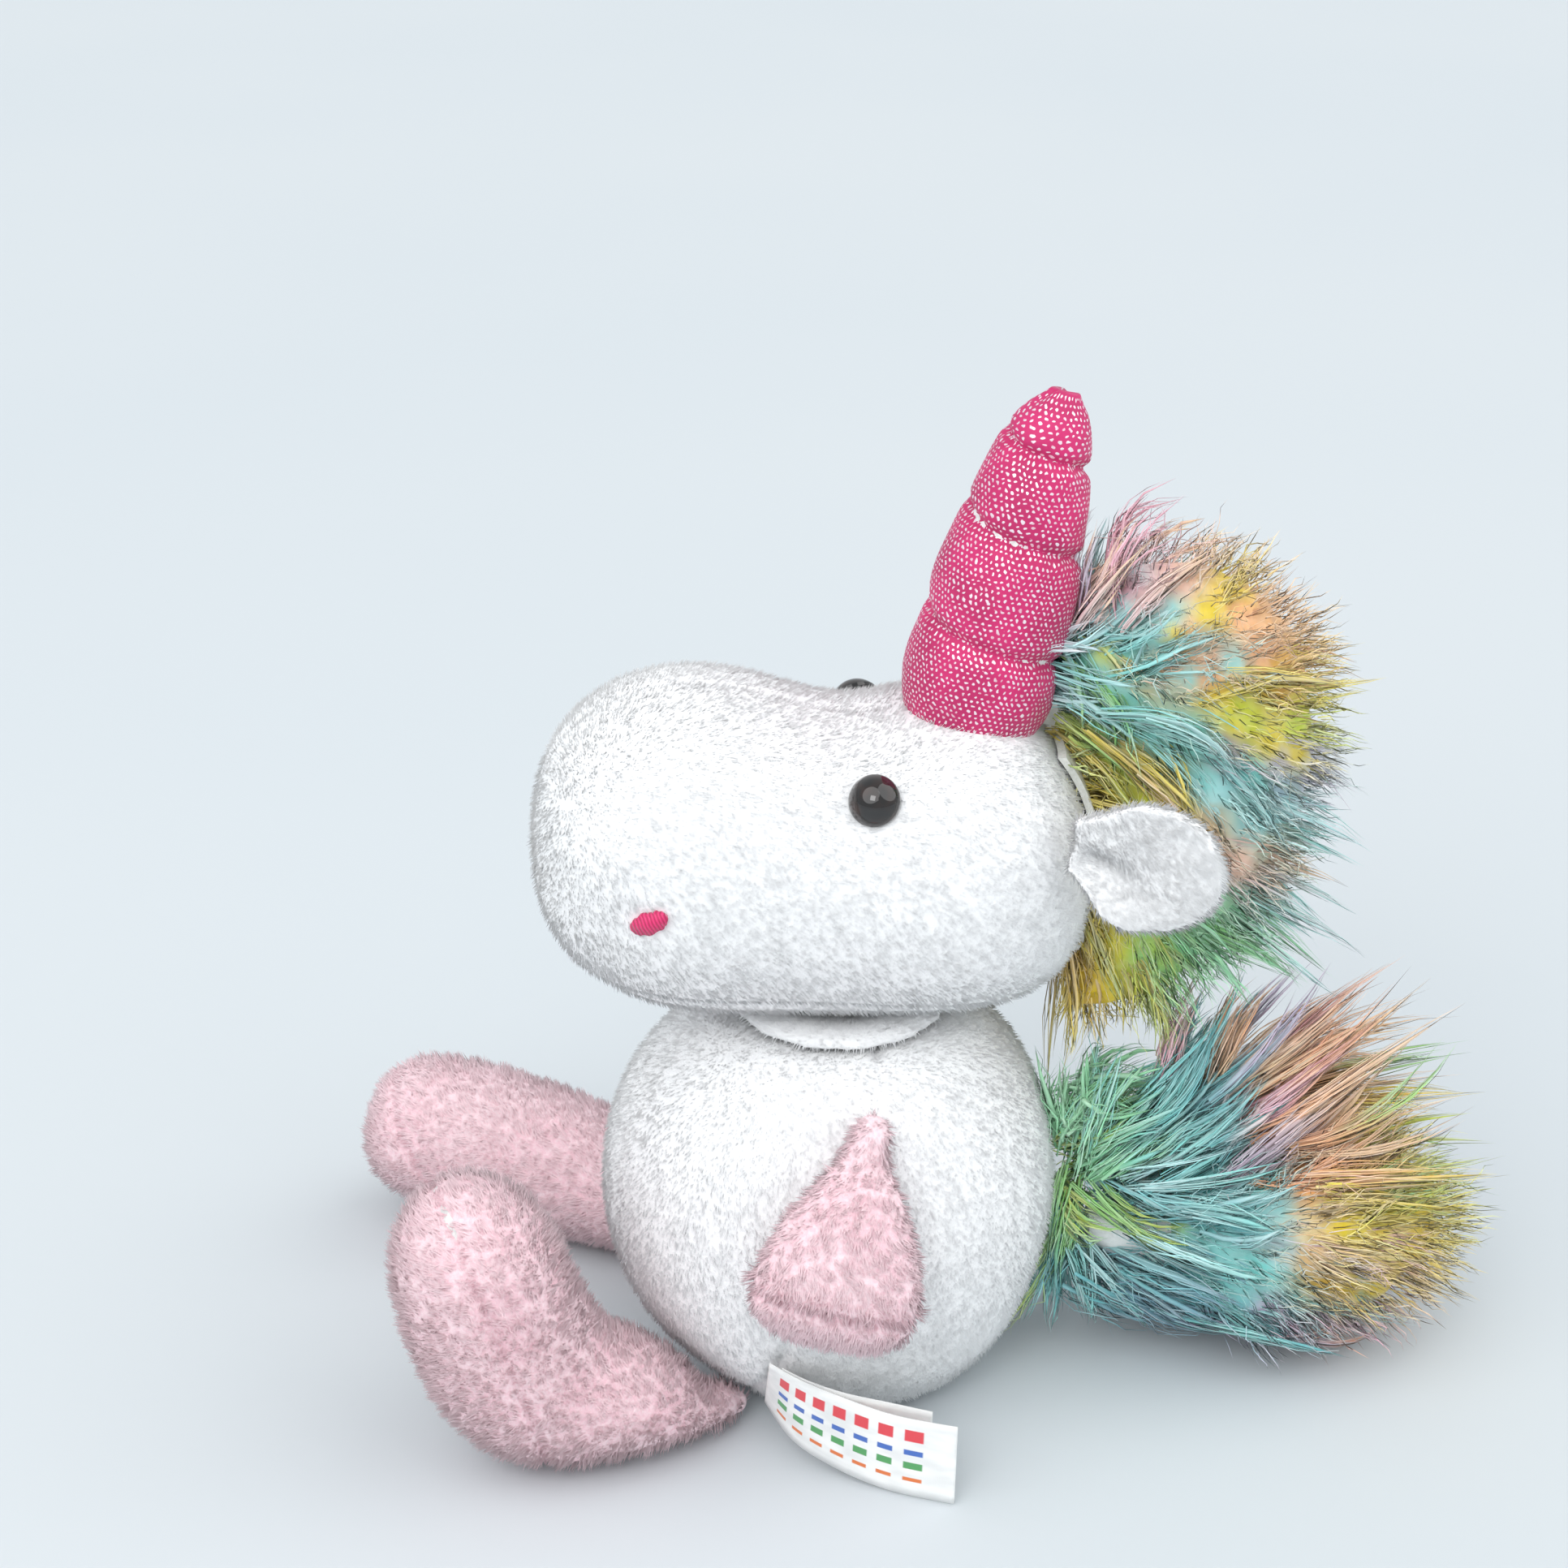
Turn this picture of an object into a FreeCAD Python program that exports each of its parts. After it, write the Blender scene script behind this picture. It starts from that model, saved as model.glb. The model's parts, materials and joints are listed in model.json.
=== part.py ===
"""A sitting plush unicorn: sewn covers, the stuffing in them, and the small parts fixed to them.

Units are millimetres. +Z is up, the unicorn faces -Y, and its own left side is +X. The origin is the
middle of the flat seat, on the surface that it sits on. Each piece is written to parts/NODE.step.
"""

import FreeCAD
import Part

import math
import os

V = FreeCAD.Vector
X_AXIS = V(1, 0, 0)
Y_AXIS = V(0, 1, 0)
Z_AXIS = V(0, 0, 1)

# ---- how covers and stuffing nest ----------------------------------------------------------------
SECTION_POINTS = 16  # points on each cross-section
FABRIC = 2.0  # plush fabric, its pile pressed flat
STUFFING_GAP = 0.35  # between a cover and its stuffing
TAB_GAP = 0.9  # between a sewn tab and the pieces beside it

# ---- torso: height, middle along Y, half length along Y, half width along X ------------------------
TORSO_ROWS = (
    (0.0, 0.0, 21.5, 21.5),
    (2.5, 0.4, 27.0, 26.5),
    (8.0, 0.5, 32.5, 32.0),
    (16.0, -1.0, 38.8, 37.6),
    (28.0, -2.0, 44.0, 42.0),
    (41.0, -2.2, 46.2, 43.6),
    (54.0, -2.0, 45.0, 42.2),
    (64.0, -1.6, 41.6, 38.6),
    (72.5, -1.0, 36.0, 33.0),
    (78.0, -0.5, 28.5, 26.0),
    (80.4, 0.0, 18.0, 17.0),
)
TORSO_MIDDLE = V(0, -2, 40)
TORSO_POWER = 2.1  # 2 is an ellipse, more is squarer

# ---- head: place along Y, top, underside, half width ----------------------------------------------
HEAD_ROWS = (
    (-60.2, 124.2, 114.0, 5.0),
    (-57.6, 134.4, 103.6, 15.5),
    (-51.0, 143.8, 94.8, 24.5),
    (-41.0, 149.8, 88.8, 30.2),
    (-28.0, 151.7, 85.8, 32.8),
    (-14.0, 149.0, 84.7, 31.8),
    (0.0, 145.2, 84.5, 31.8),
    (14.0, 146.8, 84.5, 33.6),
    (27.0, 147.0, 85.1, 32.2),
    (37.0, 141.5, 88.2, 27.8),
    (44.5, 131.5, 95.0, 20.0),
    (48.0, 121.5, 104.0, 10.0),
    (49.0, 116.5, 109.5, 4.0),
)
HEAD_MIDDLE = V(0, -4, 116)
HEAD_POWER = 2.3

# ---- neck: a ball of stuffing inside a loose gusset, which turn in a hollow of the head and torso ----
NECK_CENTRE = V(0, 0, 82.4)
NECK_CORE_R = 10.6
NECK_GUSSET_INNER_R = 11.1
NECK_GUSSET_OUTER_R = 12.2
NECK_HOLLOW_R = 12.9

# ---- safety eyes -------------------------------------------------------------------------------------
EYE_AIM_FROM = V(0, 6.0, 122.0)
EYE_AIM = V(0.85, -0.06, 0.50)  # from there to where the eye sits
EYE_FACING = V(0.80, -0.30, 0.50)
EYE_SUNK = 0.4  # the rim's back below the head's surface
EYE_R = 4.9
EYE_DOME = 3.4
EYE_RIM = 0.8
EYE_SHANK_R = 1.5
EYE_SHANK_LENGTH = 7.5
EYE_HOLE_GAP = 0.3
WASHER_R = 5.2
WASHER_THICK = 1.0
WASHER_DEPTH = 4.6  # from the head's surface to the washer's outer face

# ---- nostrils ----------------------------------------------------------------------------------------
NOSTRIL_CENTRE = V(30.5, -37.3, 115.6)
NOSTRIL_INNER = V(12.0, -20.0, 121.0)  # the patch faces away from here
NOSTRIL_START = 5.0  # how far inside the surface its column starts
NOSTRIL_REACH = 12.0  # length of that column
NOSTRIL_HALF_LONG = 3.3
NOSTRIL_HALF_SHORT = 2.0
NOSTRIL_TURN = 32.0
NOSTRIL_RAISE = 1.025  # the patch's outer face against the head's size

# ---- horn: distance along its axis, radius -------------------------------------------------------------
HORN_BASE = V(0, 25.4, 148.2)
HORN_LEAN = 13.6
HORN_ROWS = ((-9.0, 13.9), (0.0, 13.9), (14.0, 13.6), (28.0, 12.2), (40.0, 10.2), (49.0, 8.0), (56.0, 5.4))
HORN_TIP = 60.5
HORN_FABRIC = 0.9
HORN_CLEARANCE = 1.08  # the head grown by this much is cut from the horn's base

# ---- ears: a leaf of two layers, from its pinched root to its tip ---------------------------------------
EAR_ROOT = V(27.0, 40.8, 128.3)
EAR_TIP = V(41.5, 66.5, 125.6)
EAR_HALF_WIDTHS = ((0.0, 6.4), (0.18, 8.8), (0.42, 12.0), (0.66, 12.2), (0.86, 9.0), (0.97, 4.2))
EAR_LAYER = 1.7

# ---- mane: a strip sewn over the back of the head, and the pile that stands on it ------------------------
MANE_STRIP_HALF_WIDTH = 8.0
MANE_STRIP_CUT_Y = 32.0  # where the block that cuts the strip out starts
MANE_STRIP_REACH = 20.0  # how far back that block goes
MANE_STRIP_TOP = 137.0
MANE_STRIP_LOW = 96.0
MANE_STRIP_THICK = 1.4
MANE_ROWS = (  # height, front face, back face, half width
    (176.0, 58.0, 66.0, 5.0),
    (172.0, 55.0, 76.0, 10.5),
    (163.0, 51.5, 86.0, 15.0),
    (152.0, 49.5, 91.5, 17.5),
    (139.0, 51.5, 94.0, 18.5),
    (125.0, 53.0, 92.0, 18.5),
    (111.0, 52.5, 86.0, 17.5),
    (98.0, 51.0, 78.0, 15.5),
    (87.0, 50.0, 70.0, 12.5),
    (80.0, 50.5, 63.0, 8.0),
    (77.0, 52.5, 59.0, 4.0),
)

# ---- arms: distance from the shoulder, half width, half thickness ----------------------------------------
SHOULDER = V(38.0, 3.5, 74.0)
SHOULDER_TAB_R = 3.3
ARM_LEAN_OUT = 12.0
ARM_SWING_FORWARD = 15.0
ARM_FACE_OFFSET = 0.8  # the arm's inner face, outward from the shoulder
ARM_ROWS = (
    (4.4, 4.8, 2.2),
    (6.8, 6.9, 3.4),
    (11.5, 10.0, 5.2),
    (19.0, 14.0, 7.0),
    (27.0, 16.3, 8.2),
    (33.5, 16.4, 8.0),
    (38.0, 13.6, 6.4),
    (40.8, 9.0, 4.0),
    (41.8, 4.6, 2.0),
)
ARM_COVER_INNER = 0.86
ARM_STUFFING = 0.82
ARM_MIDDLE_ROW = 4
HOOF_SEAM = 31.0  # distance from the shoulder

# ---- legs: x, y, z of the middle line, half width, half height --------------------------------------------
HIP_TAB_R = 2.4
HIP_LEFT = V(25.4, -22.4, 4.6)
LEG_LEFT_ROWS = (
    (27.2, -26.2, 5.2, 6.0, 3.6),
    (29.2, -30.2, 6.9, 7.8, 5.3),
    (31.2, -35.6, 9.8, 10.6, 8.5),
    (33.0, -42.4, 12.9, 13.2, 11.8),
    (34.3, -50.4, 15.0, 14.8, 14.4),
    (35.2, -58.4, 17.6, 16.0, 16.8),
    (36.0, -65.4, 25.6, 16.8, 17.8),
    (36.6, -69.6, 37.0, 17.0, 17.4),
    (37.0, -72.4, 47.5, 16.2, 16.4),
    (37.3, -74.2, 56.0, 13.6, 13.6),
    (37.5, -75.2, 62.0, 8.6, 8.6),
    (37.6, -75.6, 64.8, 3.6, 3.6),
)
HIP_RIGHT = V(-25.4, -22.4, 4.6)
LEG_RIGHT_ROWS = (
    (-27.4, -25.4, 5.4, 7.4, 3.9),
    (-29.9, -28.4, 7.2, 9.6, 5.8),
    (-34.0, -33.2, 10.0, 12.0, 9.0),
    (-38.8, -39.4, 12.8, 13.8, 12.0),
    (-43.6, -47.0, 14.6, 15.0, 14.0),
    (-47.6, -55.8, 16.2, 16.0, 15.4),
    (-50.6, -65.4, 17.8, 16.8, 16.5),
    (-52.8, -75.6, 20.0, 17.0, 16.9),
    (-54.6, -85.4, 22.6, 16.4, 16.5),
    (-55.8, -93.0, 24.6, 14.4, 14.6),
    (-56.6, -98.0, 25.8, 10.2, 10.4),
    (-56.9, -100.2, 26.4, 5.2, 5.4),
)
SOLE_SEAM_LEFT = (V(36.0, -69.0, 30.0), V(0.25, -0.90, -0.28))
SOLE_SEAM_RIGHT = (V(-54.0, -84.0, 21.0), V(-0.25, -0.80, -0.52))

# ---- tail: place along Y, middle height, half width, half height ------------------------------------------------
TAIL_TAB = V(0, 46.2, 28.2)
TAIL_TAB_R = 3.4
TAIL_ROWS = (
    (50.8, 28.2, 5.0, 5.0),
    (54.0, 28.2, 9.8, 9.6),
    (60.0, 28.4, 17.0, 16.4),
    (69.0, 28.4, 25.0, 23.4),
    (80.0, 28.4, 30.0, 27.0),
    (93.0, 28.6, 31.2, 27.6),
    (106.0, 28.4, 28.8, 26.4),
    (117.0, 27.6, 23.6, 22.6),
    (126.0, 26.4, 16.6, 16.6),
    (132.0, 25.6, 9.4, 9.6),
    (134.4, 25.2, 4.0, 4.2),
)
TAIL_CORE_START = 5.6
TAIL_CORE_END = 48.0
TAIL_CORE_RADII = (3.6, 9.0, 10.5, 6.0)

# ---- care label: two leaves in the left side seam; each edge is a row of points from the seam outwards ---------
LABEL_THICK = 0.3
LABEL_FRONT_LOWER = (
    V(32.0, -16.6, 9.0),
    V(39.4, -11.4, 5.0),
    V(45.0, -3.0, 2.0),
    V(50.4, 7.0, 0.6),
    V(55.0, 19.0, 0.4),
)
LABEL_FRONT_UPPER = (
    V(43.0, -16.2, 26.0),
    V(45.0, -10.6, 23.4),
    V(47.0, -2.4, 20.4),
    V(50.6, 7.6, 18.4),
    V(54.2, 19.4, 17.8),
)
LABEL_BACK_LOWER = (
    V(33.0, -14.2, 9.6),
    V(38.0, -9.4, 7.0),
    V(41.2, -2.4, 4.4),
    V(44.6, 6.4, 2.4),
    V(47.6, 15.0, 1.4),
)
LABEL_BACK_UPPER = (
    V(43.4, -13.8, 25.0),
    V(44.6, -9.0, 22.8),
    V(45.6, -2.0, 20.4),
    V(46.2, 6.8, 18.2),
    V(48.0, 15.2, 17.0),
)


def section(centre, across, upward, half_across, half_up, power=2.0):
    """Return a closed smooth wire around a centre."""
    points = []
    for index in range(SECTION_POINTS):
        angle = 2.0 * math.pi * index / SECTION_POINTS
        c = math.cos(angle)
        s = math.sin(angle)
        a = math.copysign(abs(c) ** (2.0 / power), c) * half_across
        b = math.copysign(abs(s) ** (2.0 / power), s) * half_up
        points.append(centre + across * a + upward * b)
    curve = Part.BSplineCurve()
    curve.interpolate(Points=points, PeriodicFlag=True)
    return Part.Wire([curve.toShape()])


def loft(wires):
    """Return the smooth solid through a row of wires."""
    return Part.makeLoft(wires, True, False)


def scaled(shape, factor, middle):
    """Return a copy of a solid grown or shrunk about a point."""
    matrix = FreeCAD.Matrix()
    matrix.move(middle * -1.0)
    matrix.scale(V(factor, factor, factor))
    matrix.move(middle)
    return shape.transformGeometry(matrix)


def mirrored(shape):
    """Return the same shape on the other side of the body."""
    return shape.mirror(V(0, 0, 0), X_AXIS)


def ball(centre, radius):
    """Return a sphere at a place."""
    return Part.makeSphere(radius, centre)


def spun(rows, tip, start, axis):
    """Return a solid of revolution whose rows give distance along its axis, and radius."""
    points = [V(radius, 0, along) for along, radius in rows]
    points.append(V(0, 0, tip))
    curve = Part.BSplineCurve()
    curve.interpolate(Points=points)
    first = points[0]
    floor = Part.makeLine(V(0, 0, first.z), first)
    spine = Part.makeLine(V(0, 0, tip), V(0, 0, first.z))
    face = Part.Face(Part.Wire([floor, curve.toShape(), spine]))
    solid = face.revolve(V(0, 0, 0), Z_AXIS, 360)
    solid = Part.makeSolid(solid) if solid.ShapeType != "Solid" else solid
    turn = FreeCAD.Rotation(Z_AXIS, axis)
    solid.Placement = FreeCAD.Placement(start, turn)
    return solid


def along_path(rows, inset=0.0):
    """Return a tube through rows of middle point, half width and half height."""
    middles = [V(row[0], row[1], row[2]) for row in rows]
    wires = []
    last = len(rows) - 1
    for index, row in enumerate(rows):
        before = middles[max(index - 1, 0)]
        after = middles[min(index + 1, last)]
        ahead = (after - before).normalize()
        across = ahead.cross(Z_AXIS).normalize()
        upward = across.cross(ahead).normalize()
        centre = middles[index]
        if index == 0:
            centre = centre + ahead * inset
        if index == last:
            centre = centre - ahead * inset
        shrink = min(inset, 0.55 * row[4])
        wires.append(section(centre, across, upward, row[3] - shrink, row[4] - shrink))
    return loft(wires)


# ---- torso and neck ----------------------------------------------------------------------------------------


def torso_form():
    """Return the torso's outer form, with no hollow for the neck."""
    wires = []
    for height, middle, half_length, half_width in TORSO_ROWS:
        wires.append(section(V(0, middle, height), X_AXIS, Y_AXIS, half_width, half_length, TORSO_POWER))
    return loft(wires)


def nested(form, middle, least_half):
    """Return the hollow of a cover and the form of its stuffing, both inside an outer form."""
    hollow = scaled(form, 1.0 - FABRIC / least_half, middle)
    stuffing = scaled(form, 1.0 - (FABRIC + STUFFING_GAP) / least_half, middle)
    return hollow, stuffing


def torso(form):
    """Return the torso's cover and stuffing."""
    hollow, stuffing = nested(form, TORSO_MIDDLE, TORSO_ROWS[-1][0] - TORSO_MIDDLE.z)
    neck_hollow = ball(NECK_CENTRE, NECK_HOLLOW_R)
    return {
        "torso_cover": form.cut(hollow).cut(neck_hollow),
        "torso_stuffing": stuffing.cut(neck_hollow),
    }


def neck():
    """Return the neck's ball of stuffing and the gusset around it."""
    gusset = ball(NECK_CENTRE, NECK_GUSSET_OUTER_R).cut(ball(NECK_CENTRE, NECK_GUSSET_INNER_R))
    return {"neck_stuffing": ball(NECK_CENTRE, NECK_CORE_R), "neck_gusset": gusset}


# ---- head ----------------------------------------------------------------------------------------------------


def head_form():
    """Return the head's outer form, with no hollow or holes."""
    wires = []
    for place, top, low, half_width in HEAD_ROWS:
        centre = V(0, place, 0.5 * (top + low))
        wires.append(section(centre, X_AXIS, Z_AXIS, half_width, 0.5 * (top - low), HEAD_POWER))
    return loft(wires)


def meet_surface(form, start, direction):
    """Return the point where a ray from inside a form leaves it."""
    far = start + direction * 200.0
    inside = Part.makeLine(start, far).common(form)
    ends = sorted((vertex.Point for vertex in inside.Vertexes), key=lambda p: p.distanceToPoint(start))
    return ends[-1]


def disc(centre, axis, radius, start, end):
    """Return a cylinder from start to end along an axis through a centre."""
    return Part.makeCylinder(radius, end - start, centre + axis * start, axis)


def eye(place, aim):
    """Return one safety eye, its washer, and the tool that makes room for both."""
    sphere_r = (EYE_R**2 + EYE_DOME**2) / (2.0 * EYE_DOME)
    dome = ball(place + aim * (EYE_DOME - sphere_r + EYE_RIM), sphere_r)
    dome = dome.common(disc(place, aim, EYE_R, EYE_RIM, EYE_RIM + EYE_DOME + 1.0))
    rim = disc(place, aim, EYE_R, 0.0, EYE_RIM)
    shank = disc(place, aim, EYE_SHANK_R, -EYE_SHANK_LENGTH, 0.0)
    part = dome.fuse(rim).fuse(shank).removeSplitter()
    washer = disc(place, aim, WASHER_R, -WASHER_DEPTH - WASHER_THICK, -WASHER_DEPTH)
    washer = washer.cut(disc(place, aim, EYE_SHANK_R, -2.0 * WASHER_DEPTH, 0.0))
    room = disc(place, aim, EYE_SHANK_R + EYE_HOLE_GAP, -EYE_SHANK_LENGTH - EYE_HOLE_GAP, EYE_RIM)
    room = room.fuse(disc(place, aim, EYE_R + EYE_HOLE_GAP, 0.0, 2.0 * EYE_R))
    washer_room = WASHER_R + EYE_HOLE_GAP
    room = room.fuse(
        disc(place, aim, washer_room, -WASHER_DEPTH - WASHER_THICK - EYE_HOLE_GAP, EYE_HOLE_GAP - WASHER_DEPTH)
    )
    return part, washer, room


def nostril(form):
    """Return the left nostril, a small embroidered oval on the head's surface."""
    outward = (NOSTRIL_CENTRE - NOSTRIL_INNER).normalize()
    across = outward.cross(Z_AXIS).normalize()
    upward = across.cross(outward)
    turn = math.radians(NOSTRIL_TURN)
    long_way = across * math.cos(turn) - upward * math.sin(turn)
    short_way = across * math.sin(turn) + upward * math.cos(turn)
    near = section(NOSTRIL_CENTRE - outward * NOSTRIL_START, long_way, short_way, NOSTRIL_HALF_LONG, NOSTRIL_HALF_SHORT)
    oval = Part.Face(near).extrude(outward * NOSTRIL_REACH)
    return oval.common(scaled(form, NOSTRIL_RAISE, HEAD_MIDDLE)).cut(form)


def head(form):
    """Return the head's cover and stuffing, and the eyes and nostrils on it."""
    hollow, stuffing = nested(form, HEAD_MIDDLE, HEAD_MIDDLE.z - HEAD_ROWS[6][2])
    cover = form.cut(hollow)
    aim = V(EYE_AIM).normalize()
    place = meet_surface(form, EYE_AIM_FROM, aim)
    facing = V(EYE_FACING).normalize()
    left_eye, left_washer, room = eye(place - facing * EYE_SUNK, facing)
    rooms = [room, mirrored(room), ball(NECK_CENTRE, NECK_HOLLOW_R)]
    left_nostril = nostril(form)
    return {
        "head_cover": cover.cut(rooms),
        "head_stuffing": stuffing.cut(rooms),
        "eye_left": left_eye,
        "eye_right": mirrored(left_eye),
        "eye_washer_left": left_washer,
        "eye_washer_right": mirrored(left_washer),
        "nostril_left": left_nostril,
        "nostril_right": mirrored(left_nostril).cut(form),
    }


def horn(form):
    """Return the horn's foil-printed cover and its stuffing."""
    lean = math.radians(HORN_LEAN)
    axis = V(0, math.sin(lean), math.cos(lean))
    room = scaled(form, HORN_CLEARANCE, HEAD_MIDDLE)
    outer = spun(HORN_ROWS, HORN_TIP, HORN_BASE, axis)
    solids = []
    for inset in (HORN_FABRIC, HORN_FABRIC + STUFFING_GAP):
        rows = [(along, radius - inset) for along, radius in HORN_ROWS]
        solids.append(spun(rows, HORN_TIP - 1.5 * inset, HORN_BASE, axis))
    return {"horn_cover": outer.cut(solids[0]).cut(room), "horn_stuffing": solids[1].cut(room)}


def ear_outline(forward, side, offset):
    """Return one face of the ear, a leaf shape with a rounded tip."""
    length = (EAR_TIP - EAR_ROOT).Length
    upper = [EAR_ROOT + offset + forward * (t * length) + side * w for t, w in EAR_HALF_WIDTHS]
    lower = [EAR_ROOT + offset + forward * (t * length) - side * w for t, w in reversed(EAR_HALF_WIDTHS)]
    curve = Part.BSplineCurve()
    curve.interpolate(Points=upper + [EAR_TIP + offset] + lower)
    root = Part.makeLine(lower[-1], upper[0])
    return Part.Face(Part.Wire([curve.toShape(), root]))


def ears():
    """Return both ears, each of a back layer and a front layer."""
    forward = (EAR_TIP - EAR_ROOT).normalize()
    normal = forward.cross(Z_AXIS).normalize()
    side = normal.cross(forward)
    back = ear_outline(forward, side, V(0, 0, 0)).extrude(normal * -EAR_LAYER)
    front = ear_outline(forward, side, V(0, 0, 0)).extrude(normal * EAR_LAYER)
    return {
        "ear_left_back": back,
        "ear_left_front": front,
        "ear_right_back": mirrored(back),
        "ear_right_front": mirrored(front),
    }


def mane(form):
    """Return the strip sewn over the back of the head, and the mane's pile."""
    block = Part.makeBox(
        2.0 * MANE_STRIP_HALF_WIDTH,
        MANE_STRIP_REACH,
        MANE_STRIP_TOP - MANE_STRIP_LOW,
        V(-MANE_STRIP_HALF_WIDTH, MANE_STRIP_CUT_Y, MANE_STRIP_LOW),
    )
    factor = 1.0 + MANE_STRIP_THICK / (HEAD_ROWS[-1][0] - HEAD_MIDDLE.y)
    strip = scaled(form, factor, HEAD_MIDDLE).cut(form).common(block)
    wires = []
    for height, front, back, half_width in MANE_ROWS:
        centre = V(0, 0.5 * (front + back), height)
        wires.append(section(centre, X_AXIS, Y_AXIS, half_width, 0.5 * (back - front), 2.2))
    pile = loft(wires)
    return {"mane_strip": strip, "mane_pile": pile}


# ---- limbs -----------------------------------------------------------------------------------------------------


def arm_frame():
    """Return the left arm's directions: down the arm, across it, and outward from its inner face."""
    lean = math.radians(ARM_LEAN_OUT)
    swing = math.radians(ARM_SWING_FORWARD)
    outward = V(math.cos(lean), 0, math.sin(lean))
    down = V(math.sin(lean), 0, -math.cos(lean))
    ahead = V(0, -1, 0)
    along = down * math.cos(swing) + ahead * math.sin(swing)
    return along, outward.cross(along), outward


def arm():
    """Return the left arm's cover, hoof end, stuffing and shoulder tab."""
    along, across, outward = arm_frame()
    wires = []
    middles = []
    for distance, half_width, half_thick in ARM_ROWS:
        centre = SHOULDER + along * distance + outward * (ARM_FACE_OFFSET + half_thick)
        middles.append(centre)
        wires.append(section(centre, across, outward, half_width, half_thick, 2.2))
    form = loft(wires)
    middle = middles[ARM_MIDDLE_ROW]
    cover = form.cut(scaled(form, ARM_COVER_INNER, middle))
    seam = SHOULDER + along * HOOF_SEAM
    below = disc(seam, along, 60.0, 0.0, 40.0)
    return {
        "shoulder_tab": ball(SHOULDER, SHOULDER_TAB_R),
        "arm_cover": cover.cut(below),
        "arm_hoof": cover.common(below),
        "arm_stuffing": scaled(form, ARM_STUFFING, middle),
    }


def arms():
    """Return both arms with their own names."""
    nodes = {}
    for name, shape in arm().items():
        first, second = name.split("_")
        nodes[first + "_left_" + second] = shape
        nodes[first + "_right_" + second] = mirrored(shape)
    return nodes


def leg(side, rows, hip, seam):
    """Return one leg's cover, sole, stuffing and hip tab."""
    form = along_path(rows)
    cover = form.cut(along_path(rows, FABRIC))
    point, normal = seam
    ahead = disc(point, V(normal).normalize(), 90.0, 0.0, 60.0)
    return {
        "hip_%s_tab" % side: ball(hip, HIP_TAB_R),
        "leg_%s_cover" % side: cover.cut(ahead),
        "leg_%s_sole" % side: cover.common(ahead),
        "leg_%s_stuffing" % side: along_path(rows, FABRIC + STUFFING_GAP),
    }


# ---- tail and label ----------------------------------------------------------------------------------------------


def tail():
    """Return the tail's tab, its stuffed core and the pile around the core."""
    wires = []
    for place, height, half_width, half_height in TAIL_ROWS:
        wires.append(section(V(0, place, height), X_AXIS, Z_AXIS, half_width, half_height, 2.25))
    start = TAIL_CORE_START
    step = (TAIL_CORE_END - start) / len(TAIL_CORE_RADII)
    sizes = {}
    insets = {
        "room": -STUFFING_GAP,
        "cover": 0.0,
        "hollow": FABRIC,
        "stuffing": FABRIC + STUFFING_GAP,
    }
    for name, inset in insets.items():
        rows = []
        for index, radius in enumerate(TAIL_CORE_RADII):
            rows.append((start + inset + index * step, radius - min(inset, 0.6 * radius)))
        sizes[name] = spun(rows, TAIL_CORE_END - 2.0 * inset, TAIL_TAB, Y_AXIS)
    return {
        "tail_tab": ball(TAIL_TAB, TAIL_TAB_R),
        "tail_pile": loft(wires).cut(sizes["room"]),
        "tail_core_cover": sizes["cover"].cut(sizes["hollow"]),
        "tail_core_stuffing": sizes["stuffing"],
    }


def label_leaf(lower_points, upper_points):
    """Return one leaf of the care label, a thin band between its lower and upper edges."""
    lower = Part.BSplineCurve()
    lower.interpolate(Points=list(lower_points))
    upper = Part.BSplineCurve()
    upper.interpolate(Points=list(upper_points))
    face = Part.makeRuledSurface(lower.toShape(), upper.toShape())
    outward = V(1.0, -0.45, 0.2).normalize() * LABEL_THICK
    return face.extrude(outward)


def label():
    """Return the care label's two leaves."""
    return {
        "label_front_leaf": label_leaf(LABEL_FRONT_LOWER, LABEL_FRONT_UPPER),
        "label_back_leaf": label_leaf(LABEL_BACK_LOWER, LABEL_BACK_UPPER),
    }


def all_nodes():
    """Return every piece by the name of its node."""
    torso_outer = torso_form()
    head_outer = head_form()
    nodes = {}
    nodes.update(torso(torso_outer))
    nodes.update(neck())
    nodes.update(head(head_outer))
    nodes.update(horn(head_outer))
    nodes.update(ears())
    nodes.update(mane(head_outer))
    nodes.update(arms())
    nodes.update(leg("left", LEG_LEFT_ROWS, HIP_LEFT, SOLE_SEAM_LEFT))
    nodes.update(leg("right", LEG_RIGHT_ROWS, HIP_RIGHT, SOLE_SEAM_RIGHT))
    nodes.update(tail())
    nodes.update(label())
    return nodes


def main():
    """Check each piece and write it."""
    os.makedirs("parts", exist_ok=True)
    for name, shape in all_nodes().items():
        if shape.ShapeType == "Compound" and len(shape.Solids) == 1:
            shape = shape.Solids[0]
        box = shape.BoundBox
        print(
            "%-22s valid %s solids %d volume %9.1f  x %7.1f %7.1f  y %7.1f %7.1f  z %7.1f %7.1f"
            % (
                name,
                shape.isValid(),
                len(shape.Solids),
                shape.Volume,
                box.XMin,
                box.XMax,
                box.YMin,
                box.YMax,
                box.ZMin,
                box.ZMax,
            )
        )
        shape.exportStep("parts/%s.step" % name)


main()
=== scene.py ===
"""Looks of the plush unicorn: sewn skins with their pile, horn, eyes, mane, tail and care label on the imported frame."""

import json
import logging
import math
from dataclasses import dataclass
from enum import Enum
from typing import Any, Callable, Optional, Sequence

import bmesh
import bpy
import numpy as np
from mathutils import Matrix, Vector, kdtree
from mathutils.bvhtree import BVHTree

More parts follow.
